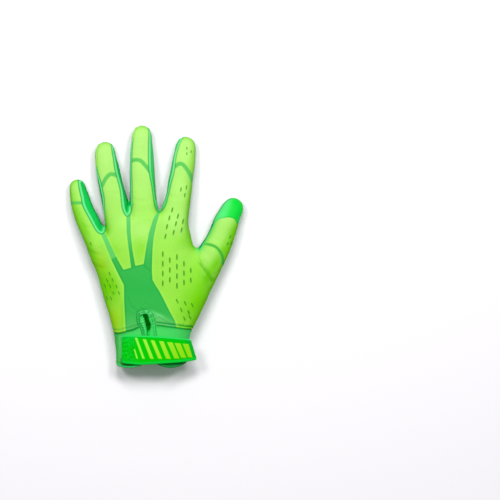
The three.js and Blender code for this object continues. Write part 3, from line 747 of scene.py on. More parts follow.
def skin(step, rounds):
    V, Q = mesh_field(step)
    V = relax(V, Q)
    d1 = np.linalg.norm(V[Q[:, 0]] - V[Q[:, 2]], axis=1)
    d2 = np.linalg.norm(V[Q[:, 1]] - V[Q[:, 3]], axis=1)
    a = (d1 <= d2)[:, None]
    F = np.vstack([np.where(a, Q[:, [0, 1, 2]], Q[:, [0, 1, 3]]),
                   np.where(a, Q[:, [0, 2, 3]], Q[:, [1, 2, 3]])])
    S = fields(V)
    if rounds:
        V, S, F = refine(V, S, F, rounds)
        S = fields(V)
    for k in range(len(KEYS)):
        V, S, F = split_mesh(V, S, F, k)
    return V, S, F, label(S, F)


# ------------------------------------------------------------------ relief
TENDON_LINES = {k: np.array(v, float) for k, v in TENDONS.items()}
BAND_LINES = [(w, smooth_line(p)) for w, p in BANDS]
THUMB_LINE = np.vstack([smooth_line(THUMB_EDGE[:6]), THUMB_EDGE[6:]])
CREASES = [     # depth, width, points
    (1.0, 2.1, [(41.0, -12.0), (43.6, -16.2), (48.0, -21.8), (51.4, -26.4), (54.6, -31.6), (56.6, -35.5)]),
    (0.30, 1.8, [(35.5, -20.0), (40.0, -26.0), (44.0, -33.0)]),
    (-0.9, 3.2, [(45.0, -9.5), (49.5, -13.0), (54.0, -20.0), (57.5, -27.0)]),
    (-0.65, 2.2, [(-4.2, -63.6), (1.0, -65.6), (5.5, -67.6), (12.0, -71.2), (19.0, -75.6)]),
    (0.22, 1.3, [(-2.5, -66.6), (3.0, -69.0), (9.0, -72.0), (14.5, -75.0)]),
    (0.30, 2.2, [(-68.0, -2.0), (-60.0, -6.0), (-52.0, -8.0)]),
    (0.28, 2.4, [(-62.0, -16.0), (-55.0, -20.0), (-48.0, -21.0)]),
    (0.25, 2.6, [(-72.0, 20.0), (-66.0, 18.5), (-61.0, 19.5)]),
    (0.25, 2.2, [(24.0, -80.0), (30.0, -72.0), (34.0, -62.0)]),
    (0.35, 2.2, [(-18.0, -62.0), (-24.0, -58.0), (-27.0, -50.0)]),
    (0.30, 2.0, [(-8.0, -60.0), (-6.5, -52.0), (-3.0, -46.0)]),
    (0.25, 2.5, [(-42.0, 52.0), (-33.0, 50.5)]),
    (0.25, 2.8, [(-23.0, 46.0), (-12.0, 44.0), (-2.0, 46.5)]),
    (0.25, 2.8, [(11.0, 50.0), (21.0, 47.0), (33.0, 51.0)]),
    (0.25, 2.2, [(54.0, 8.0), (61.0, 6.5), (70.0, 0.0)]),
]
CREASE_LINES = [(d, w, smooth_line(p)) for d, w, p in CREASES]


def soft_noise(P, wave, seed):
    rng = np.random.default_rng(seed)
    out = np.zeros(len(P))
    for _ in range(7):
        d = rng.normal(size=3)
        d *= 2 * math.pi / (wave * rng.uniform(0.7, 1.4) * np.linalg.norm(d))
        out += np.sin(P @ d + rng.uniform(0, 6.3))
    return out / 7


def along_line(line, x, y):
    """Distance to a polyline and the length along it at the nearest point."""
    best = np.full(x.shape, 1e9)
    arc = np.zeros(x.shape)
    run = 0.0
    for (ax, ay), (bx, by) in zip(line[:-1], line[1:]):
        dx, dy = bx - ax, by - ay
        l2 = max(dx * dx + dy * dy, 1e-9)
        t = np.clip(((x - ax) * dx + (y - ay) * dy) / l2, 0, 1)
        d = (x - ax - t * dx) ** 2 + (y - ay - t * dy) ** 2
        near = d < best
        best = np.where(near, d, best)
        arc = np.where(near, run + t * math.sqrt(l2), arc)
        run += math.sqrt(l2)
    return np.sqrt(best), arc


def bell(d, w):
    return np.exp(-(d / w) ** 2)


def marks(P):
    """Signed distances to the printed shapes, negative inside."""
    x, y, _ = P.T
    tendon = np.full(x.shape, 16.0)
    for line in TENDON_LINES.values():
        tendon = np.minimum(tendon, poly_dist(line, x, y))
    band = np.full(x.shape, 9.0)
    for w, line in BAND_LINES:
        band = np.minimum(band, seg_dist(line, x, y, reach=9.0) - w)
    (ax, ay), (bx, by) = PALE_END
    n = math.hypot(bx - ax, by - ay)
    pale = np.where(x < -30, ((x - ax) * -(by - ay) + (y - ay) * (bx - ax)) / n, -9.0)
    return dict(tendon=tendon, band=band, vent=vent_dist(x, y), pale=pale,
                thumb=poly_dist(THUMB_LINE, x, y))


def relief(P, N, S, M):
    """How far the cloth stands off the smooth skin, in mm."""
    x, y, z = P.T
    hem, slit, bind, cuff, tip, side = S[:, :6].T
    g = S[:, 6:].min(1)
    up = step01(N[:, 2], -0.1, 0.5)
    hand = step01(cuff, 0.2, 2.0) * step01(tip, -0.3, 1.2)
    out = 0.28 * soft_noise(P, 34, 3) + 0.12 * soft_noise(P, 15, 5)
    off = step01(bind, 0, 2.5)
    # gussets lie a little lower, with a small groove along them
    upper = step01(side, 0.2, 1.8)
    out += upper * hand * (-0.42 * bell(g, 0.5) + 0.18 * bell(g - 1.3, 0.8)
                           + 0.16 * bell(g + 1.5, 0.7) - 0.75 * step01(-g, 2.0, 4.2))
    out += hand * (-0.35 * bell(side, 0.55) + 0.1 * bell(np.abs(side) - 1.2, 0.6))
    # the thumb tip's seam
    out += (-0.34 * bell(tip, 0.5) + 0.14 * bell(tip - 1.2, 0.7)) * step01(cuff, 0, 4)
    # a cord runs in the cuff seam
    out += off * (-0.95 * bell(cuff, 0.6) + 0.45 * bell(cuff - 1.5, 0.7)
                  - 0.6 * bell(cuff - 3.1, 0.55) + 0.22 * bell(cuff + 1.5, 0.9)
                  + 0.16 * bell(cuff - 4.6, 1.0))
    # hem: a rolled edge with a groove above it
    out += 0.35 * bell(hem - 1.1, 0.9) - 0.55 * bell(hem - 3.0, 0.5) + 0.25 * bell(hem - 4.6, 1.0) \
        - 0.5 * bell(hem, 0.5)
    # small folds run beside the lower vents on either side
    for cx, cy, rx, ry, lean in ((28.5, -60.5, 12, 13, -24), (-43.5, -38.5, 9, 13, -20)):
        a = math.radians(lean)
        across = (x - cx) * math.cos(a) - (y - cy) * math.sin(a)
        w = np.exp(-((x - cx) / rx) ** 2 - ((y - cy) / ry) ** 2)
        out += 0.16 * w * np.cos(across * 2 * math.pi / 4.1) * up
    # creases
    for depth, width, line in CREASE_LINES:
        d = seg_dist(line, x, y, reach=width * 4)
        ends = np.minimum(np.hypot(x - line[0, 0], y - line[0, 1]),
                          np.hypot(x - line[-1, 0], y - line[-1, 1]))
        out -= depth * bell(d, width * 0.62) * up * step01(ends, 0.2, 3.5) * off
        out += 0.35 * depth * bell(d - width * 1.5, width * 0.7) * up * step01(ends, 0.2, 3.5) * off
    # printed shapes are bonded on: their edges sink a trace
    out -= up * hand * 0.14 * bell(M["tendon"], 0.6)
    out -= up * hand * 0.10 * bell(M["band"], 0.6)
    out += up * hand * 0.10 * step01(-M["band"], 0, 0.8)
    # vents
    v = M["vent"]
    out += up * hand * (-0.5 * step01(-v, -0.12, 0.5) + 0.1 * bell(v - 0.45, 0.3))
    # the welt round the slit
    i = np.where(bind < 3.0)[0]
    if len(i):
        b, sl = -bind[i], slit[i]
        d, arc = along_line(np.vstack([LINES["slit"], LINES["slit"][:1]]), x[i], y[i])
        over = step01(y[i], -87.5, -86.1) * step01(b, -0.15, 0.55) * (1 - 0.9 * (1 - np.clip(sl / 0.9, 0, 1)) ** 2)
        rise = 0.95 * over
        rise -= 0.55 * bell(b - 2.3, 0.38) * step01(sl, 0.6, 1.2)
        top = step01(y[i], -80, -72)
        rise += over * (0.14 + 0.36 * top) * np.sin(arc * 2 * math.pi / 2.35 + 0.8 * np.sin(arc * 0.9)) \
            * step01(b, 0, 1.2)
        rise += over * 0.22 * top * np.sin(arc * 2 * math.pi / 5.3 + 1.0)
        gather = 0.4 * bell(b + 1.4, 1.4) * np.sin(arc * 2 * math.pi / 3.4) * top
        low = step01(y[i], -87.5, -86.1)
        out[i] += (rise + gather - 0.5 * bell(b + 0.3, 0.4)) * low
    return np.maximum(out, -1.05)


# ------------------------------------------------------------------ colour
GAIN = 0.73       # the cloth's share of the light that the studio gives


def lin(*rgb):
    return GAIN * np.array([c / 255 / 12.92 if c <= 10.3 else ((c / 255 + 0.055) / 1.055) ** 2.4
                     for c in rgb])


# The base lime, a paler lime painted as highlight, and a deeper lime painted as shade.
LIME, LIME_HIGHLIGHT, LIME_SHADE = lin(153, 230, 72), lin(177, 237, 121), lin(114, 211, 0)
# The lime cloth has four other tones: pale over the knuckles, a painted
# highlight; fuller in the hollows between them, a painted shade; olive on the
# little finger's side of the hand; and deep down the sides, a painted shade.
# Places: x, y, radii, angle, share.
TONES_AND_PAINTED_LIGHT = [
    (lin(182, 243, 124), [
        (19, 26, 14, 14, 0, 0.6), (-27, 24, 12, 12, 0, 0.45), (-12, 16, 11, 9, 0, 0.65),
        (49, -9.5, 8, 6, 0, 0.3), (22, 56, 11, 6, 80, 0.4)]),
    (lin(136, 223, 44), [
        (-40, -4, 12, 7, -60, 0.6), (-14, -3, 9, 9, 0, 0.6), (30, 5, 15, 6, 0, 0.45),
        (38.5, -24.5, 16, 9, 62, 0.55), (-57.6, 66, 16, 3.6, 96, 0.55),
        (34.5, 80, 18, 3, 80, 0.5), (-74, 31, 10, 3.5, -68, 0.6)]),
    (lin(162, 216, 4), [
        (-51.6, -18.5, 14, 6, -72, 0.75), (-39, -69, 13, 7, -80, 0.7)]),
    (LIME_SHADE, [
        (-60.5, -6, 14, 3, -66, 0.7), (-47.5, -39, 17, 10, -70, 0.95), (-40.5, -38, 12, 4, -76, 0.6),
        (-31.5, -66, 15, 1.7, 90, 0.6), (-68.5, 18, 11, 3.2, -63, 0.75), (-77.5, 34, 20, 3.5, 94, 0.5),
        (42, -52, 24, 8, 62, 0.95), (33, -50, 24, 10, 64, 0.5), (49, -31, 14, 5, 60, 0.8),
        (58, -17.5, 12, 4.2, 59, 0.9), (67, -3, 8, 5.5, 60, 0.85), (74.5, 12, 15, 5.6, 68, 0.85)]),
]


# Where folds keep the cloth in shade: share, width, points.
CREASE_SHADES = [(share, width, smooth_line(points, 1.0)) for share, width, points in (
    (0.75, 1.3, [(42.0, -13.4), (44.2, -17.4), (48.4, -22.8), (51.6, -27.2), (54.8, -32.4), (56.4, -36.0)]),
    (0.40, 4.0, [(47.6, -26.0), (50.6, -31.0), (53.0, -36.0)]),
    (0.15, 1.4, [(-68.0, -2.0), (-60.0, -6.0), (-52.0, -8.0)]),
    (0.20, 1.6, [(-62.0, -18.0), (-55.0, -22.0), (-48.0, -23.0)]))]


def unlined(P):
    """Where the back wraps the side of a finger, so no gusset shows there."""
    x, y, _ = P.T
    ring = step01(y, 75, 80) * step01(-x, 49, 50.5)
    middle = step01(y, 101, 106) * step01(-x, 14, 16) * step01(x, -34, -32)
    return np.clip(ring + middle, 0, 1)


def lime(P, N):
    x, y, _ = P.T
    # Painted highlight: paler lime toward the fingertips and on the thumb.
    tip_highlight = np.clip(np.interp(y, [-40, 20, 60, 100], [0.0, 0.25, 0.75, 1.0])
                   + np.where(x > 44, 0.45, 0.0), 0, 1)[:, None]
    col = LIME * (1 - tip_highlight) + LIME_HIGHLIGHT * tip_highlight
    # Painted shade: deeper lime where the skin turns away from the top, less of it toward the fingertips.
    side = ((0.97 - 0.5 * step01(y, 45, 75)) * step01(1 - N[:, 2], 0.04, 0.52))[:, None]
    col = col * (1 - side) + LIME_SHADE * side
    for tone, places in TONES_AND_PAINTED_LIGHT:
        for cx, cy, ra, rb, angle, share in places:
            c, n = math.cos(math.radians(angle)), math.sin(math.radians(angle))
            u = ((x - cx) * c + (y - cy) * n) / ra
            v = ((y - cy) * c - (x - cx) * n) / rb
            w = (share * np.exp(-(u * u + v * v)))[:, None]
            col = col * (1 - w) + tone * w
    # Painted shade: a grey-green edge where the fingertips and the thumb's upper part turn steeply away.
    far = step01(y, 55, 75) + step01(x, 50, 60) * step01(y, 10, 20)
    rim = (0.7 * np.clip(far, 0, 1) * step01(1 - N[:, 2], 0.6, 0.95))[:, None]
    col = col * (1 - rim) + lin(84, 186, 66) * rim
    for share, width, line in CREASE_SHADES:
        d, arc = along_line(line, x, y)
        ends = np.minimum(np.hypot(x - line[0, 0], y - line[0, 1]),
                          np.hypot(x - line[-1, 0], y - line[-1, 1]))
        w = (share * bell(d, width) * step01(ends, 0.3, 4.0))[:, None]
        col = col * (1 - w) + lin(84, 186, 6) * w
    return col * (1 + 0.05 * soft_noise(P, 26, 11)[:, None])


def tendon_green(P, M):
    x, y, _ = P.T
    t = np.interp(y, [-84, -74, -62, -40, -15, 10, 34],
                  [0.55, 0.35, 0.05, 0.0, 0.10, 0.60, 1.0])
    # Painted highlight: the print lighter over the fold to the right of the slit's top.
    fold_highlight = poly_dist(np.array([(-5, -62), (7, -66.5), (22, -77), (22, -84), (-2, -84)], float), x, y)
    t = np.clip(t + 0.5 * step01(-fold_highlight, -1.5, 2.5), 0, 1)[:, None]
    col = lin(50, 184, 76) * (1 - t) + lin(104, 206, 108) * t
    # Painted highlight along the ridge that runs right and down from the slit's top.
    d, arc = along_line(smooth_line([(-6.2, -62.6), (-1, -64.8), (5.5, -67.4), (12.5, -71.2), (19.0, -75.6)]), x, y)
    w = (0.6 * bell(d + 0.6, 2.1) * step01(x, 13, 3))[:, None]
    col = col * (1 - w) + lin(118, 232, 138) * w
    edge = (0.55 * bell(M["tendon"] + 0.7, 0.8) * step01(-t[:, 0], -0.6, -0.2))[:, None]
    return col * (1 - edge) + lin(34, 164, 56) * edge


def gusset_green(P, N, g):
    """A dark line at the seam, a pale strip, then deep green down the side. The deep green is partly painted shade,
    laid by steepness, and the web pockets are painted darker as shade.
    """
    x, y, _ = P.T
    # Painted shade in the web pockets between the fingers.
    pocket_shade = np.exp(-((x + 26) / 6) ** 2 - ((y - 40) / 15) ** 2) \
        + 0.6 * np.exp(-((x + 50.5) / 6) ** 2 - ((y - 18.5) / 8) ** 2)
    light = 1 - 0.45 * step01(x, -8, -4)
    inner = step01(-g, 1.9, 3.0)
    # Painted shade: deeper green where the side turns steeply.
    steep_shade = step01(1 - N[:, 2], 0.45, 0.9)
    w = (light * np.clip(np.maximum(inner, 0.8 * steep_shade), 0, 1))[:, None]
    thumbward = step01(x, -8, -4)
    inward = step01(-x, -7, -1)
    webward = (thumbward * (inward * step01(-y, -82, -62)
                            + 0.5 * (1 - inward) * step01(-y, -66, -50)))[:, None]
    pale = lin(106, 240, 142) * (1 - webward) + lin(80, 234, 112) * webward
    col = pale * (1 - w) + lin(14, 204, 84) * w
    soft = (0.34 * thumbward * step01(y, 56 + 10 * inward, 74 + 10 * inward)
            * step01(g, -1.9, -0.3))[:, None]
    col = col * (1 - soft) + lin(190, 250, 118) * soft
    # Painted shade: darker in the web pockets, along the fold inside the pale strip, and on the steepest sides.
    d = (0.85 * np.clip(pocket_shade, 0, 1) * step01(-g, 3.0, 4.6)
         + 0.35 * bell(g + 2.9, 0.5) + 0.3 * step01(1 - N[:, 2], 0.8, 1.0))
    d = (light * np.clip(d, 0, 1))[:, None]
    col = col * (1 - d) + lin(0, 156, 58) * d
    line = ((0.8 - 0.3 * thumbward * step01(y, 66, 84)) * bell(g + 0.1, 0.55))[:, None]
    col = col * (1 - line) + lin(38, 156, 82) * line
    bare = unlined(P)[:, None]
    return col * (1 - bare) + lime(P, N) * bare


def seam_shade(S, P):
    """How dark the seams' stitched grooves are, with a painted highlight on the cord between the cuff seam's two
    lines.
    """
    y = P[:, 1]
    hem, slit, bind, cuff, tip, side = S[:, :6].T
    off = step01(bind, 0, 1.0)
    right = step01(P[:, 0], -22, -12)
    out = 0.74 * bell(cuff + 0.3, 0.85) + (0.1 + 0.65 * right) * bell(cuff - 2.6, 0.7)
    out = out * off
    out = np.maximum(out, 0.45 * bell(bind + 0.1, 0.4))
    out = np.maximum(out, 0.5 * bell(bind + 2.3, 0.36) * step01(slit, 0.5, 1.0))
    # Painted highlight along the cord between the cuff seam's two lines.
    cord_highlight = 0.28 * bell(cuff - 1.2, 0.7) * step01(P[:, 0], -6, 0) * off
    return np.maximum(1 + cord_highlight[:, None] - np.clip(out, 0, 1)[:, None] * np.array([1.6, 0.74, 1.0]), 0.01)


# ------------------------------------------------------------------ materials
def material(name, colour, rough, specular=0.3, sheen=0.0, bump=None):
    """A node material; colour is a function that gets the tree and returns
    the socket with the base colour."""
    m = bpy.data.materials.new(name)
    m.use_nodes = True
    t = m.node_tree
    b = t.nodes["Principled BSDF"]
    b.inputs["Roughness"].default_value = rough
    b.inputs["Specular IOR Level"].default_value = specular
    b.inputs["Sheen Weight"].default_value = sheen
    b.inputs["Sheen Roughness"].default_value = 0.5
    t.links.new(colour(t), b.inputs["Base Color"])
    if bump:
        scale, strength, distance, kind = bump
        co = t.nodes.new("ShaderNodeTexCoord")
        if kind == "knit":
            tex = t.nodes.new("ShaderNodeTexVoronoi")
            tex.inputs["Scale"].default_value = scale
            out = tex.outputs["Distance"]
        else:
            tex = t.nodes.new("ShaderNodeTexNoise")
            tex.inputs["Scale"].default_value = scale
            tex.inputs["Detail"].default_value = 3
            out = tex.outputs["Fac"]
        t.links.new(co.outputs["Object"], tex.inputs["Vector"])
        n = t.nodes.new("ShaderNodeBump")
        n.inputs["Strength"].default_value = strength
        n.inputs["Distance"].default_value = distance
        t.links.new(out, n.inputs["Height"])
        t.links.new(n.outputs["Normal"], b.inputs["Normal"])
    return m


def attribute(t, name, colour=False):
    n = t.nodes.new("ShaderNodeAttribute")
    n.attribute_name = name
    return n.outputs["Color" if colour else "Fac"]


def mask(t, socket, start, end):
    """0 at start and 1 at end."""
    n = t.nodes.new("ShaderNodeMapRange")
    n.inputs["From Min"].default_value = start
    n.inputs["From Max"].default_value = end
    t.links.new(socket, n.inputs["Value"])
    return n.outputs["Result"]


def mix(t, fac, a, b):
    n = t.nodes.new("ShaderNodeMix")
    n.data_type = "RGBA"
    for value, socket in ((fac, n.inputs[0]), (a, n.inputs[6]), (b, n.inputs[7])):
        if isinstance(value, bpy.types.NodeSocket):
            t.links.new(value, socket)
        elif np.ndim(value) == 0:
            socket.default_value = value
        else:
            socket.default_value = (*[float(c) for c in value], 1.0)
    return n.outputs[2]


def times(t, socket, factor):
    n = t.nodes.new("ShaderNodeMath")
    n.operation = "MULTIPLY"
    t.links.new(socket, n.inputs[0])
    if isinstance(factor, bpy.types.NodeSocket):
        t.links.new(factor, n.inputs[1])
    else:
        n.inputs[1].default_value = factor
    return n.outputs[0]


def speckle(t, base, amount, scale, dark=0.8):
    """The base colour broken up a little, as cloth is."""
    co = t.nodes.new("ShaderNodeTexCoord")
    n = t.nodes.new("ShaderNodeTexNoise")
    n.inputs["Scale"].default_value = scale
    n.inputs["Detail"].default_value = 2
    t.links.new(co.outputs["Object"], n.inputs["Vector"])
    fac = times(t, mask(t, n.outputs["Fac"], 0.35, 0.7), amount)
    d = t.nodes.new("ShaderNodeMix")
    d.data_type = "RGBA"
    d.blend_type = "MULTIPLY"
    t.links.new(fac, d.inputs[0])
    t.links.new(base, d.inputs[6])
    d.inputs[7].default_value = (dark, dark, dark, 1)
    return d.outputs[2]


def back_colour(t):
    base = attribute(t, "tint", True)
    green = mix(t, times(t, mask(t, attribute(t, "pale"), -0.4, 0.4), 0.75),
                attribute(t, "green", True), lin(106, 215, 108))
    # the lime is paler where it meets the green
    base = mix(t, times(t, mask(t, attribute(t, "tendon"), 2.4, 0.9), 0.35), base, lin(172, 244, 98))
    base = mix(t, mask(t, attribute(t, "tendon"), 0.28, -0.28), base, green)
    base = mix(t, times(t, mask(t, attribute(t, "band"), 0.55, -0.55), 0.92), base, attribute(t, "strip", True))
    base = mix(t, times(t, mask(t, attribute(t, "thumb"), 5.0, 0.8), 0.4), base, lin(112, 228, 112))
    base = mix(t, mask(t, attribute(t, "thumb"), 0.7, -0.1), base, lin(88, 224, 118))
    base = mix(t, mask(t, attribute(t, "thumb"), -0.6, -1.1), base, lin(30, 158, 80))
    base = mix(t, times(t, mask(t, attribute(t, "piping"), 0.8, 0.3), 0.8), base, lin(44, 160, 80))
    base = mix(t, times(t, mask(t, attribute(t, "vent"), 0.42, -0.30), 0.88), base, lin(62, 158, 26))
    return speckle(t, base, 0.35, 900)


def flat(name_or_colour, amount=0.35, scale=900):
    def make(t):
        if isinstance(name_or_colour, str):
            base = attribute(t, name_or_colour, True)
        else:
            base = mix(t, 0.0, name_or_colour, name_or_colour)
        return speckle(t, base, amount, scale)
    return make


def strap_colour(t):
    base = mix(t, mask(t, attribute(t, "rim"), 0.2, -0.2), attribute(t, "field", True), attribute(t, "edge", True))
    # Painted shade: a dark line in the groove above the lower rim.
    base = mix(t, times(t, mask(t, attribute(t, "groove"), 0.5, 0.0), 0.5), base, lin(0, 140, 10))
    base = mix(t, mask(t, attribute(t, "stripe"), 0.14, -0.14), base, attribute(t, "tint", True))
    return speckle(t, base, 0.2, 500, 0.9)


MATS = {
    "back": material("lime_stretch_cloth", back_colour, 0.8, 0.02, 0.006, (1500, 0.18, 0.0002, "knit")),
    "palm": material("green_grip_cloth", flat("tint", 0.2), 0.42, 0.4, 0, (700, 0.2, 0.0002, "noise")),
    "knit": material("green_gusset_knit", flat("tint"), 0.8, 0.05, 0.02, (1300, 0.25, 0.0002, "knit")),
    "tip": material("green_tip_cloth", flat("tint", 0.2), 0.5, 0.10, 0, (700, 0.2, 0.0002, "noise")),
    "cuff": material("green_cuff_knit", flat("tint"), 0.85, 0.05, 0.02, (1100, 0.3, 0.0002, "knit")),
    "binding": material("green_binding_tape", flat("tint"), 0.8, 0.06, 0.02, (1600, 0.3, 0.0002, "knit")),
    "lining": material("green_lining", flat("tint"), 0.95, 0.05, 0, (1200, 0.3, 0.0002, "knit")),
    "strap": material("green_strap_rubber", strap_colour, 0.5, 0.02, 0, (900, 0.12, 0.0001, "noise")),
    "thread": material("green_thread", flat(lin(84, 214, 108)), 0.75, 0.25, 0.05, None),
    "strap_thread": material("bright_green_thread", flat(lin(30, 222, 58)), 0.75, 0.1, 0.0, None),
}


def make_object(name, verts, faces, mats, index=None, attrs=None, smooth=True):
    """Verts in mm. attrs: name -> one value or one linear colour a vertex."""
    me = bpy.data.meshes.new(name)
    P = (np.asarray(verts) + SHIFT) * MM
    me.vertices.add(len(P))
    me.vertices.foreach_set("co", P.astype(np.float32).ravel())
    F = np.asarray(faces)
    n = F.shape[1]
    me.loops.add(F.size)
    me.loops.foreach_set("vertex_index", F.astype(np.int32).ravel())
    me.polygons.add(len(F))
    me.polygons.foreach_set("loop_start", np.arange(0, F.size, n, dtype=np.int32))
    me.polygons.foreach_set("use_smooth", np.full(len(F), smooth))
    for m in mats:
        me.materials.append(MATS[m])
    if index is not None:
        me.polygons.foreach_set("material_index", index.astype(np.int32))
    for k, v in (attrs or {}).items():
        v = np.asarray(v)
        if v.ndim == 2:
            a = me.attributes.new(k, "FLOAT_COLOR", "POINT")
            a.data.foreach_set("color", np.hstack([v, np.ones((len(v), 1))]).astype(np.float32).ravel())
        else:
            a = me.attributes.new(k, "FLOAT", "POINT")
            a.data.foreach_set("value", v.astype(np.float32))
    me.update()
    me.validate()
    o = bpy.data.objects.new(name, me)
    bpy.context.scene.collection.objects.link(o)
    return o


# ------------------------------------------------------------------ panels
OV, OS, OF, OL = skin(1, 2)
ON = skin_normal(OV)
OM = marks(OV)
OUT = OV + ON * relief(OV, ON, OS, OM)[:, None]
OUT[:, 2] = np.maximum(OUT[:, 2], 0.05)
IV, IS, IF, IL = skin(2, 0)
# the lining lies deeper where the webs and gussets curve tightly
deeper = 0.9 * step01(-IS[:, 6:].min(1), -4.0, -1.0) * step01(IS[:, 3], 2, 6)
IN = IV - skin_normal(IV) * (WALL + 0.1 + deeper)[:, None]
IN[:, 2] = np.maximum(IN[:, 2], WALL)
print("skin", len(OF), "inner", len(IF))

MAT_OF = ["back", "palm", "cuff", "binding", "tip", "knit", "knit", "knit"]


def tint_of(k, P, N, S):
    x, y, z = P.T
    dark = seam_shade(S, P)
    if k == 0:
        return lime(P, N) * dark
    if k >= 5:
        return gusset_green(P, N, S[:, k + 1])
    if k == 1:
        # Painted shade: the palm darker near the webs between the fingers.
        deep = sum(np.exp(-((x - cx) ** 2 + (y - cy) ** 2) / 60) for cx, cy in ((-26, 41), (-51.5, 21), (3.5, 35)))
        deep = np.clip(1.6 * deep, 0, 1)[:, None]
        return lin(20, 206, 72) * (1 - deep) + lin(2, 140, 52) * deep
    if k == 4:
        # Painted highlight: the tip paler on its side toward the index finger.
        w = step01(x - 0.35 * (y - 36), 74.5, 66)[:, None]
        col = lin(0, 222, 58) * (1 - w) + lin(84, 234, 122) * w
        # Painted shade down the tip's steep side facing the fingers, plus a dark line along its seam.
        e = step01(1 - N[:, 2], 0.35, 0.8) * step01(-N[:, 0] * 0.9 + N[:, 1] * 0.3, 0.1, 0.5)
        e = np.clip(0.9 * e + 0.4 * bell(S[:, 4] + 0.3, 0.5), 0, 1)[:, None]
        return col * (1 - e) + lin(38, 160, 84) * e
    if k == 3:
        bind = S[:, 2]
        left = (step01(-x, 9.0, 11.5) * step01(y, -63, -66))[:, None]
        body = step01(-bind, 2.9, 4.1)[:, None]
        col = lin(58, 214, 98) * (1 - left) + (lin(36, 178, 74) * (1 - body) + lin(80, 222, 114) * body) * left
        # Painted highlight on top of the welt above the slit.
        welt_highlight = (0.5 * np.exp(-((x + 9) / 6) ** 2 - ((y + 64) / 3.2) ** 2))[:, None]
        col = col * (1 - welt_highlight) + lin(116, 232, 140) * welt_highlight
        # Painted highlight and painted shade on alternate puckers round the slit's top.
        turn = np.cos(7 * np.arctan2(y + 68, x + 8) + 0.8)
        near = np.exp(-((np.hypot(x + 8, y + 68) - 4.6) / 2.8) ** 2) * step01(y, -69.5, -66.5)
        up, down = (0.7 * near * np.clip(turn, 0, 1))[:, None], (0.6 * near * np.clip(-turn, 0, 1))[:, None]
        col = col * (1 - up - down) + lin(124, 240, 146) * up + lin(22, 168, 68) * down
        w = bell(S[:, 1], 0.9)[:, None] * 0.6
        return (col * (1 - w) + lin(16, 160, 56) * w) * dark
    low = S[:, 0]
    col = np.tile(lin(72, 215, 98), (len(P), 1))
    left = step01(-x, 26, 36)[:, None]
    col = col * (1 - left) + lin(56, 191, 72) * left
    # Painted highlight: a light streak down the cuff's left part.
    streak_highlight = (0.6 * np.exp(-((x + 34) / 2.2) ** 2) * step01(z, 15, 20))[:, None]
    col = col * (1 - streak_highlight) + lin(104, 220, 120) * streak_highlight
    # Painted shadow of the strap on the hem flaps below it.
    w = (step01(y, -106, -110) * step01(z, 8, 16) * step01(x, -36, -31))[:, None]
    col = col * (1 - w) + lin(14, 122, 46) * w
    # The hem's rolled rim: pale on the left, darker on the right, a painted shade under the strap.
    rim = (bell(low - 1.0, 0.9) * step01(z, 8, 16))[:, None]
    pale = lin(62, 204, 104) * step01(-x, -2, 10)[:, None] + lin(24, 150, 62) * (1 - step01(-x, -2, 10)[:, None])
    col = col * (1 - rim) + pale * rim
    return col * dark


panels = {}
for k, node in enumerate(NODES):
    T = OF[OL == k]
    ids, inv = np.unique(T, return_inverse=True)
    T = inv.reshape(-1, 3)
    P, N, S = OUT[ids], ON[ids], OS[ids]
    M = {a: b[ids] for a, b in OM.items()}
    e = np.vstack([T[:, [0, 1]], T[:, [1, 2]], T[:, [2, 0]]])
    key = e.min(1).astype(np.int64) * (len(ids) + 1) + e.max(1)
    _, first, count = np.unique(key, return_index=True, return_counts=True)
    edge = e[first[count == 1]]
    ring, rinv = np.unique(edge, return_inverse=True)
    rim_edge = rinv.reshape(-1, 2)
    nv, nr = len(ids), len(ring)
    low = P[ring] - N[ring] * WALL
    low[:, 2] = np.maximum(low[:, 2], 0.4)
    a, b = rim_edge[:, 0] + nv, rim_edge[:, 1] + nv
    R = np.vstack([np.stack([b, a, a + nr], 1), np.stack([b, a + nr, b + nr], 1)])
    TI = IF[IL == k]
    iid, iinv = np.unique(TI, return_inverse=True)
    TI = iinv.reshape(-1, 3)[:, ::-1] + nv + 2 * nr
    verts = np.vstack([P, P[ring], low, IN[iid]])
    far = np.full(len(iid), 9.0)
    tint = tint_of(k, P, N, S)
    edge_tint = tint[ring] * 0.8
    inside = (0.010, 0.93, 0.08) if k != 3 else (0.008, 0.75, 0.06)
    attrs = {"tint": np.vstack([tint, edge_tint, edge_tint, IN[iid] * 0 + inside])}
    if k == 0:
        piping = np.where(S[:, 5] > 0.2, S[:, 6:].min(1), 9.0) + 9 * unlined(P)
        thumb = np.where(S[:, 4] > 0, M["thumb"], 9.0)
        for name, v in dict(tendon=M["tendon"], band=M["band"], vent=M["vent"], pale=M["pale"],
                            thumb=thumb, piping=piping).items():
            attrs[name] = np.concatenate([v, v[ring], v[ring], far])
        strip = np.where(P[:, 0] > 40, 1.0, 0.0)[:, None]
        strip = lin(86, 197, 88) * (1 - strip) + lin(58, 182, 62) * strip
        attrs["strip"] = np.vstack([strip, strip[ring], strip[ring], IN[iid] * 0 + lin(56, 186, 80)])
        green = tendon_green(P, M) * seam_shade(S, P)
        attrs["green"] = np.vstack([green, green[ring], green[ring], IN[iid] * 0 + lin(56, 186, 80)])
    faces = np.vstack([T, R, TI])
    index = np.concatenate([np.zeros(len(T) + len(R), int), np.ones(len(TI), int)])
    o = make_object("glove_" + node, verts, faces, [MAT_OF[k], "lining"], index, attrs)
    panels[node] = o
    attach(o, "root")
    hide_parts(node)
    print(node, len(faces))


# ------------------------------------------------------------------ strap
def skin_tops():
    """Height of the skin's upper side over the plan grid."""
    inside = D < 0
    k = D.shape[2] - 1 - np.argmax(inside[:, :, ::-1], axis=2)
    k = np.clip(k, 0, D.shape[2] - 2)
    i, j = np.indices(k.shape)
    a, b = D[i, j, k], D[i, j, k + 1]
    return gz[k] + CELL * np.clip(a / np.where(a - b == 0, 1, a - b), 0, 1)


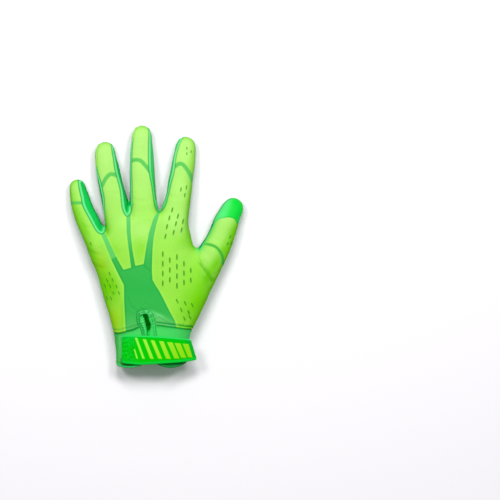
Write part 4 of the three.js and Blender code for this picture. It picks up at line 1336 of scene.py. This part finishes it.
TOPS = skin_tops()


def top_z(x, y):
    u = np.clip((x - gx[0]) / CELL, 0, len(gx) - 2.001)
    v = np.clip((y - gy[0]) / CELL, 0, len(gy) - 2.001)
    i, j = u.astype(int), v.astype(int)
    f, g = u - i, v - j
    return (TOPS[i, j] * (1 - f) * (1 - g) + TOPS[i + 1, j] * f * (1 - g)
            + TOPS[i, j + 1] * (1 - f) * g + TOPS[i + 1, j + 1] * f * g)


def strap_base(x, y):
    at = np.minimum(x, STRAP_STRAIGHT_X)
    slope = (top_z(at + 1.5, y) - top_z(at - 1.5, y)) / 3
    z = top_z(at, y) + np.where(x > STRAP_STRAIGHT_X, slope * (x - STRAP_STRAIGHT_X), 0)
    n = np.stack([-slope, 0 * slope, 1 + 0 * slope], -1)
    return z, n / np.linalg.norm(n, axis=-1)[..., None]


def strap_edges(x):
    r = np.array(STRAP, float)
    return [np.interp(x, np.linspace(0, 1, len(r)), r[:, k]) for k in range(4)]


STRAP_CORNER, STRAP_ROUND = 2.0, 0.85


def clustered(length, step):
    """Distances from one edge to the other, closer together near both."""
    near = np.array([0, 0.06, 0.2, 0.42, 0.7, 1.05, 1.45, 1.9, 2.35])
    n = int((length - 2 * near[-1]) / step)
    return np.concatenate([near, np.linspace(near[-1], length - near[-1], n)[1:-1], length - near[::-1]])


def make_strap():
    width = 66.5
    s = clustered(width, 0.42)
    t = clustered(27.0, 0.42) / 27.0
    xt, yt, xb, yb = strap_edges(s / width)
    e = np.minimum(s, width - s)
    r = STRAP_CORNER
    inset = np.where(e < r, r - np.sqrt(np.maximum(r * r - (r - e) ** 2, 0)), 0) / 27.0
    T = inset[:, None] + (1 - 2 * inset[:, None]) * t[None, :]
    X = xt[:, None] + (xb - xt)[:, None] * T
    Y = yt[:, None] + (yb - yt)[:, None] * T
    down = np.hypot(xb - xt, yb - yt)[:, None]
    a_top, a_bot = (T - inset[:, None]) * down, (1 - T - inset[:, None]) * down
    a_end = np.broadcast_to(e[:, None], T.shape)
    a = np.minimum(np.minimum(a_top, a_bot), a_end)
    h = STRAP_THICK - np.where(a < STRAP_ROUND,
                               STRAP_ROUND - np.sqrt(np.maximum(STRAP_ROUND ** 2 - (STRAP_ROUND - a) ** 2, 0)), 0)
    rim = np.minimum(a_top - 1.5, a_bot - 2.7)
    h = h - 0.4 * step01(rim, -0.25, 0.35)
    h = h + 0.10 * bell(a_bot - 1.3, 0.9) - 0.12 * bell(a_top - 0.9, 0.25)
    stripe = np.full(T.shape, 9.0)
    for x0, x1, y0, x2, x3, y2 in STRIPES:
        stripe = np.minimum(stripe, poly_dist(np.array([(x0, y0), (x1, y0 - 0.35), (x3, y2), (x2, y2 + 0.25)], float), X, Y))
    h = h + 0.38 * step01(-stripe, -0.12, 0.25)
    z, n = strap_base(X, Y)
    wave =0.12 * np.sin(s / width * 9.0)[:, None] * step01(a_bot, 3, 0)
    P = np.stack([X, Y, z], -1) + n * (STRAP_GAP + h + wave)[..., None]
    ns, nt = T.shape
    idx = np.arange(ns * nt).reshape(ns, nt)
    q = np.stack([idx[:-1, :-1], idx[:-1, 1:], idx[1:, 1:], idx[1:, :-1]], -1).reshape(-1, 4)
    loop = np.concatenate([idx[:, 0], idx[-1, 1:], idx[-2::-1, -1], idx[0, -2:0:-1]])
    verts = [P.reshape(-1, 3)]
    # the side falls to the underside with a small round at its foot
    side, sn = P.reshape(-1, 3)[loop], n.reshape(-1, 3)[loop]
    centre = np.array([X.mean(), Y.mean()])
    inward = centre - side[:, :2]
    inward /= np.linalg.norm(inward, axis=1)[:, None]
    foot = STRAP_THICK - STRAP_ROUND
    rings = []
    for drop, inn in ((0.0, 0.0), (foot * 0.45, 0.0), (foot - 0.25, 0.02), (foot, 0.28)):
        p = side - sn * drop
        p[:, :2] += inward * inn
        rings.append(p)
    verts += rings
    nl, base = len(loop), ns * nt
    faces = [q]
    for k in range(len(rings) - 1):
        a0 = base + k * nl + np.arange(nl)
        a1 = np.roll(a0, -1)
        faces.append(np.stack([a0, a1, a1 + nl, a0 + nl], 1)[:, ::-1])
    # underside: strips across, from the upper edge to the lower one
    last = base + (len(rings) - 1) * nl
    up = last + np.arange(ns)
    low = last + (ns - 1) + (nt - 1) + np.arange(ns)[::-1]
    faces.append(np.stack([up[:-1], up[1:], low[1:], low[:-1]], 1))
    V = np.vstack(verts)
    flat_rim = np.concatenate([rim.ravel(), np.full(len(V) - ns * nt, -2.0)])
    flat_groove = np.concatenate([np.abs(a_bot - 2.9).ravel(), np.full(len(V) - ns * nt, 9.0)])
    flat_stripe = np.concatenate([stripe.ravel(), np.full(len(V) - ns * nt, 9.0)])
    x, y, _ = V.T
    w = np.clip((x + 20) / 60 + (-y - 88) / 60, 0, 1)[:, None]
    tint = lin(172, 243, 66) * (1 - w) + lin(144, 222, 20) * w
    fresh = (0.85 * step01(-x, 3, 15))[:, None]
    tint = tint * (1 - fresh) + lin(140, 243, 68) * fresh
    end = step01(x + 0.42 * (y + 100), 31.5, 33.5)[:, None]
    stitched = step01(-x, 19, 23)[:, None]
    field = lin(0, 200, 0) * (1 - end) + lin(0, 182, 34) * end
    field = field * (1 - stitched) + lin(0, 196, 6) * stitched
    near = np.concatenate([np.exp(-(a_top.ravel() / 5.5) ** 2) + 0.5 * np.exp(-(a_bot.ravel() / 4) ** 2),
                           np.zeros(len(V) - ns * nt)])
    near = (0.6 * np.clip(near, 0, 1) * step01(-x, 14, 18))[:, None]
    field = field * (1 - near) + lin(6, 208, 64) * near
    field = field * (1 + 0.42 * stitched * soft_noise(V, 3.4, 7)[:, None])
    damp = stitched * np.clip(1.6 * soft_noise(V, 4.2, 19)[:, None] - 0.15, 0, 0.5)
    field = field * (1 - damp) + lin(14, 212, 62) * damp
    # Painted highlight: the upper rim lighter than the lower one.
    top = np.concatenate([(a_top < 3).ravel(), np.zeros(len(V) - ns * nt, bool)])[:, None]
    edge = np.where(top, lin(40, 224, 92), lin(4, 206, 50))
    o = make_object("glove_wrist_strap", V, np.vstack(faces), ["strap"], None,
                    dict(rim=flat_rim, edge=edge, groove=flat_groove, stripe=flat_stripe, tint=tint, field=field))
    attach(o, "root")
    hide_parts("wrist_strap")
    def surface(px, py):
        z, n = strap_base(px, py)
        return np.stack([px, py, z], -1) + n * (STRAP_GAP + STRAP_THICK - 0.5), n
    return o, surface


strap, strap_surface = make_strap()


# ------------------------------------------------------------------ stitches
def sew(name, mat, centres, along, normals, length, width, height):
    """One thread bead per row of centres, lying along its direction."""
    rings = [(-0.5, 0.0), (-0.46, 0.45), (-0.3, 0.9), (0.0, 1.0), (0.3, 0.9), (0.46, 0.45), (0.5, 0.0)]
    tv, seg = [], 8
    for u, r in rings[1:-1]:
        for k in range(seg):
            w = 2 * math.pi * k / seg
            tv.append((u, r * math.cos(w) * 0.5, r * math.sin(w) * 0.5))
    tv += [(-0.5, 0, 0), (0.5, 0, 0)]
    tf = []
    for i in range(len(rings) - 3):
        for k in range(seg):
            a, b = i * seg + k, i * seg + (k + 1) % seg
            tf += [(a, b, b + seg), (a, b + seg, a + seg)]
    m = len(tv)
    for k in range(seg):
        tf.append((m - 2, (k + 1) % seg, k))
        tf.append((m - 1, (len(rings) - 3) * seg + k, (len(rings) - 3) * seg + (k + 1) % seg))
    tv, tf = np.array(tv), np.array(tf)[:, ::-1]
    along = along / np.linalg.norm(along, axis=1)[:, None]
    side = np.cross(normals, along)
    side /= np.linalg.norm(side, axis=1)[:, None]
    up = np.cross(along, side)
    V = (centres[:, None, :] + along[:, None, :] * (tv[:, 0] * length)[None, :, None]
         + side[:, None, :] * (tv[:, 1] * width)[None, :, None]
         + up[:, None, :] * (tv[:, 2] * height)[None, :, None])
    F = (tf[None] + (np.arange(len(centres)) * m)[:, None, None]).reshape(-1, 3)
    o = make_object(name, V.reshape(-1, 3), F, [mat])
    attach(o, "root")
    return o


def on_cloth(xy):
    """Points on the creased surface over plan places, with normals."""
    P = np.column_stack([xy, top_z(xy[:, 0], xy[:, 1])])
    P = to_skin(P, 3)
    N = skin_normal(P)
    return P + N * relief(P, N, fields(P), marks(P))[:, None], N


def spaced(line, pitch, start=0.0):
    s = np.concatenate([[0], np.cumsum(np.hypot(*np.diff(line, axis=0).T))])
    at = np.arange(start, s[-1], pitch)
    p = np.column_stack([np.interp(at, s, line[:, k]) for k in (0, 1)])
    q = np.column_stack([np.interp(at + 0.2, s, line[:, k]) for k in (0, 1)])
    return p, q - p


def offset_line(line, d):
    t = np.gradient(line, axis=0)
    t /= np.linalg.norm(t, axis=1)[:, None]
    return line + np.column_stack([t[:, 1], -t[:, 0]]) * d


def stitch_run(name, line, pitch, length, width=0.5, lift=0.05, mat="thread",
               keep=None):
    p, d = spaced(line, pitch)
    if keep is not None:
        ok = keep(p)
        p, d = p[ok], d[ok]
    c, n = on_cloth(p)
    a = np.column_stack([d, np.zeros(len(d))])
    a -= n * (a * n).sum(1)[:, None]
    sew(name, mat, c + n * lift, a, n, length, width, 0.42)


bind_line = smooth_line(BINDING, 0.8)
stitch_run("glove_stitches_binding_outer", offset_line(bind_line, 0.75), 2.1, 1.35,
           keep=lambda p: p[:, 1] > -86.0)
stitch_run("glove_stitches_binding_inner", offset_line(bind_line, 2.1), 2.1, 1.35,
           keep=lambda p: (p[:, 1] > -86.0) & (seg_dist(LINES["slit"], p[:, 0], p[:, 1], closed=True) > 1.0))
cuff_line = smooth_line(CUFF_SEAM, 0.8)
clear = lambda p: (poly_dist(LINES["binding"], p[:, 0], p[:, 1]) > 0.8) & (p[:, 0] > -39.5) & (p[:, 0] < 33.0)
stitch_run("glove_stitches_cuff", offset_line(cuff_line, 1.7), 2.4, 1.5, 0.45, keep=clear)
stitch_run("glove_stitches_wrist", offset_line(cuff_line, -3.9), 2.4, 1.5, 0.42, keep=clear,
           mat="thread")
rows = []
for k in range(6):
    for j in range(13):
        y = -88.6 - 1.62 * j - (0.8 if k % 2 else 0)
        x = -29.3 + 1.75 * k + (-88.6 - y) * 0.03
        rows.append((x, y))
rows = np.array(rows)
rows = rows[(rows[:, 0] < -20.6) | (rows[:, 1] > -97)]
c, n = strap_surface(rows[:, 0], rows[:, 1])
lean = np.tile([[0.25, -1.0, 0.0]], (len(rows), 1))
sew("glove_stitches_strap", "strap_thread", c - n * 0.02, lean, n, 1.15, 0.42, 0.36)


# ------------------------------------------------------------------ scene
def studio():
    floor = bpy.data.meshes.new("floor")
    s = 6.0
    floor.from_pydata([(-s, -s, -0.0004), (s, -s, -0.0004), (s, s, -0.0004), (-s, s, -0.0004)],
                      [], [(0, 1, 2, 3)])
    m = bpy.data.materials.new("pale_floor")
    m.use_nodes = True
    b = m.node_tree.nodes["Principled BSDF"]
    b.inputs["Base Color"].default_value = (0.735, 0.718, 0.74, 1)
    b.inputs["Roughness"].default_value = 0.9
    b.inputs["Specular IOR Level"].default_value = 0.1
    floor.materials.append(m)
    o = bpy.data.objects.new("floor", floor)
    bpy.context.scene.collection.objects.link(o)

    w = bpy.data.worlds.new("studio")
    w.use_nodes = True
    w.node_tree.nodes["Background"].inputs["Color"].default_value = (0.97, 0.98, 1.0, 1)
    w.node_tree.nodes["Background"].inputs["Strength"].default_value = 0.375
    bpy.context.scene.world = w

    def lamp(name, place, aim, size, power):
        l = bpy.data.lights.new(name, "AREA")
        l.shape = "DISK"
        l.size = size
        l.energy = power
        o = bpy.data.objects.new(name, l)
        o.location = place
        d = np.array(aim, float) - np.array(place, float)
        from mathutils import Vector
        o.rotation_euler = Vector(d).to_track_quat("-Z", "Y").to_euler()
        bpy.context.scene.collection.objects.link(o)

    lamp("key", (-0.02, 0.83, 1.48), (0.0, -0.02, 0.0), 0.45, 13.3)
    lamp("left", (-0.55, 0.51, 1.48), (0.0, -0.02, 0.0), 0.42, 11.0)
    lamp("right", (0.56, 0.50, 1.48), (0.0, -0.02, 0.0), 0.42, 11.1)

    cam = bpy.data.cameras.new("camera")
    cam.sensor_width = 36
    distance = 5.0
    cam.lens = 36 * distance / 0.485
    cam.clip_start, cam.clip_end = 0.05, 20
    o = bpy.data.objects.new("camera", cam)
    o.location = (0.0918, -0.00315, 0.015 + distance)
    o.rotation_euler = (0, 0, 0)
    bpy.context.scene.collection.objects.link(o)
    bpy.context.scene.camera = o
    bpy.context.scene.view_settings.view_transform = "Standard"


studio()
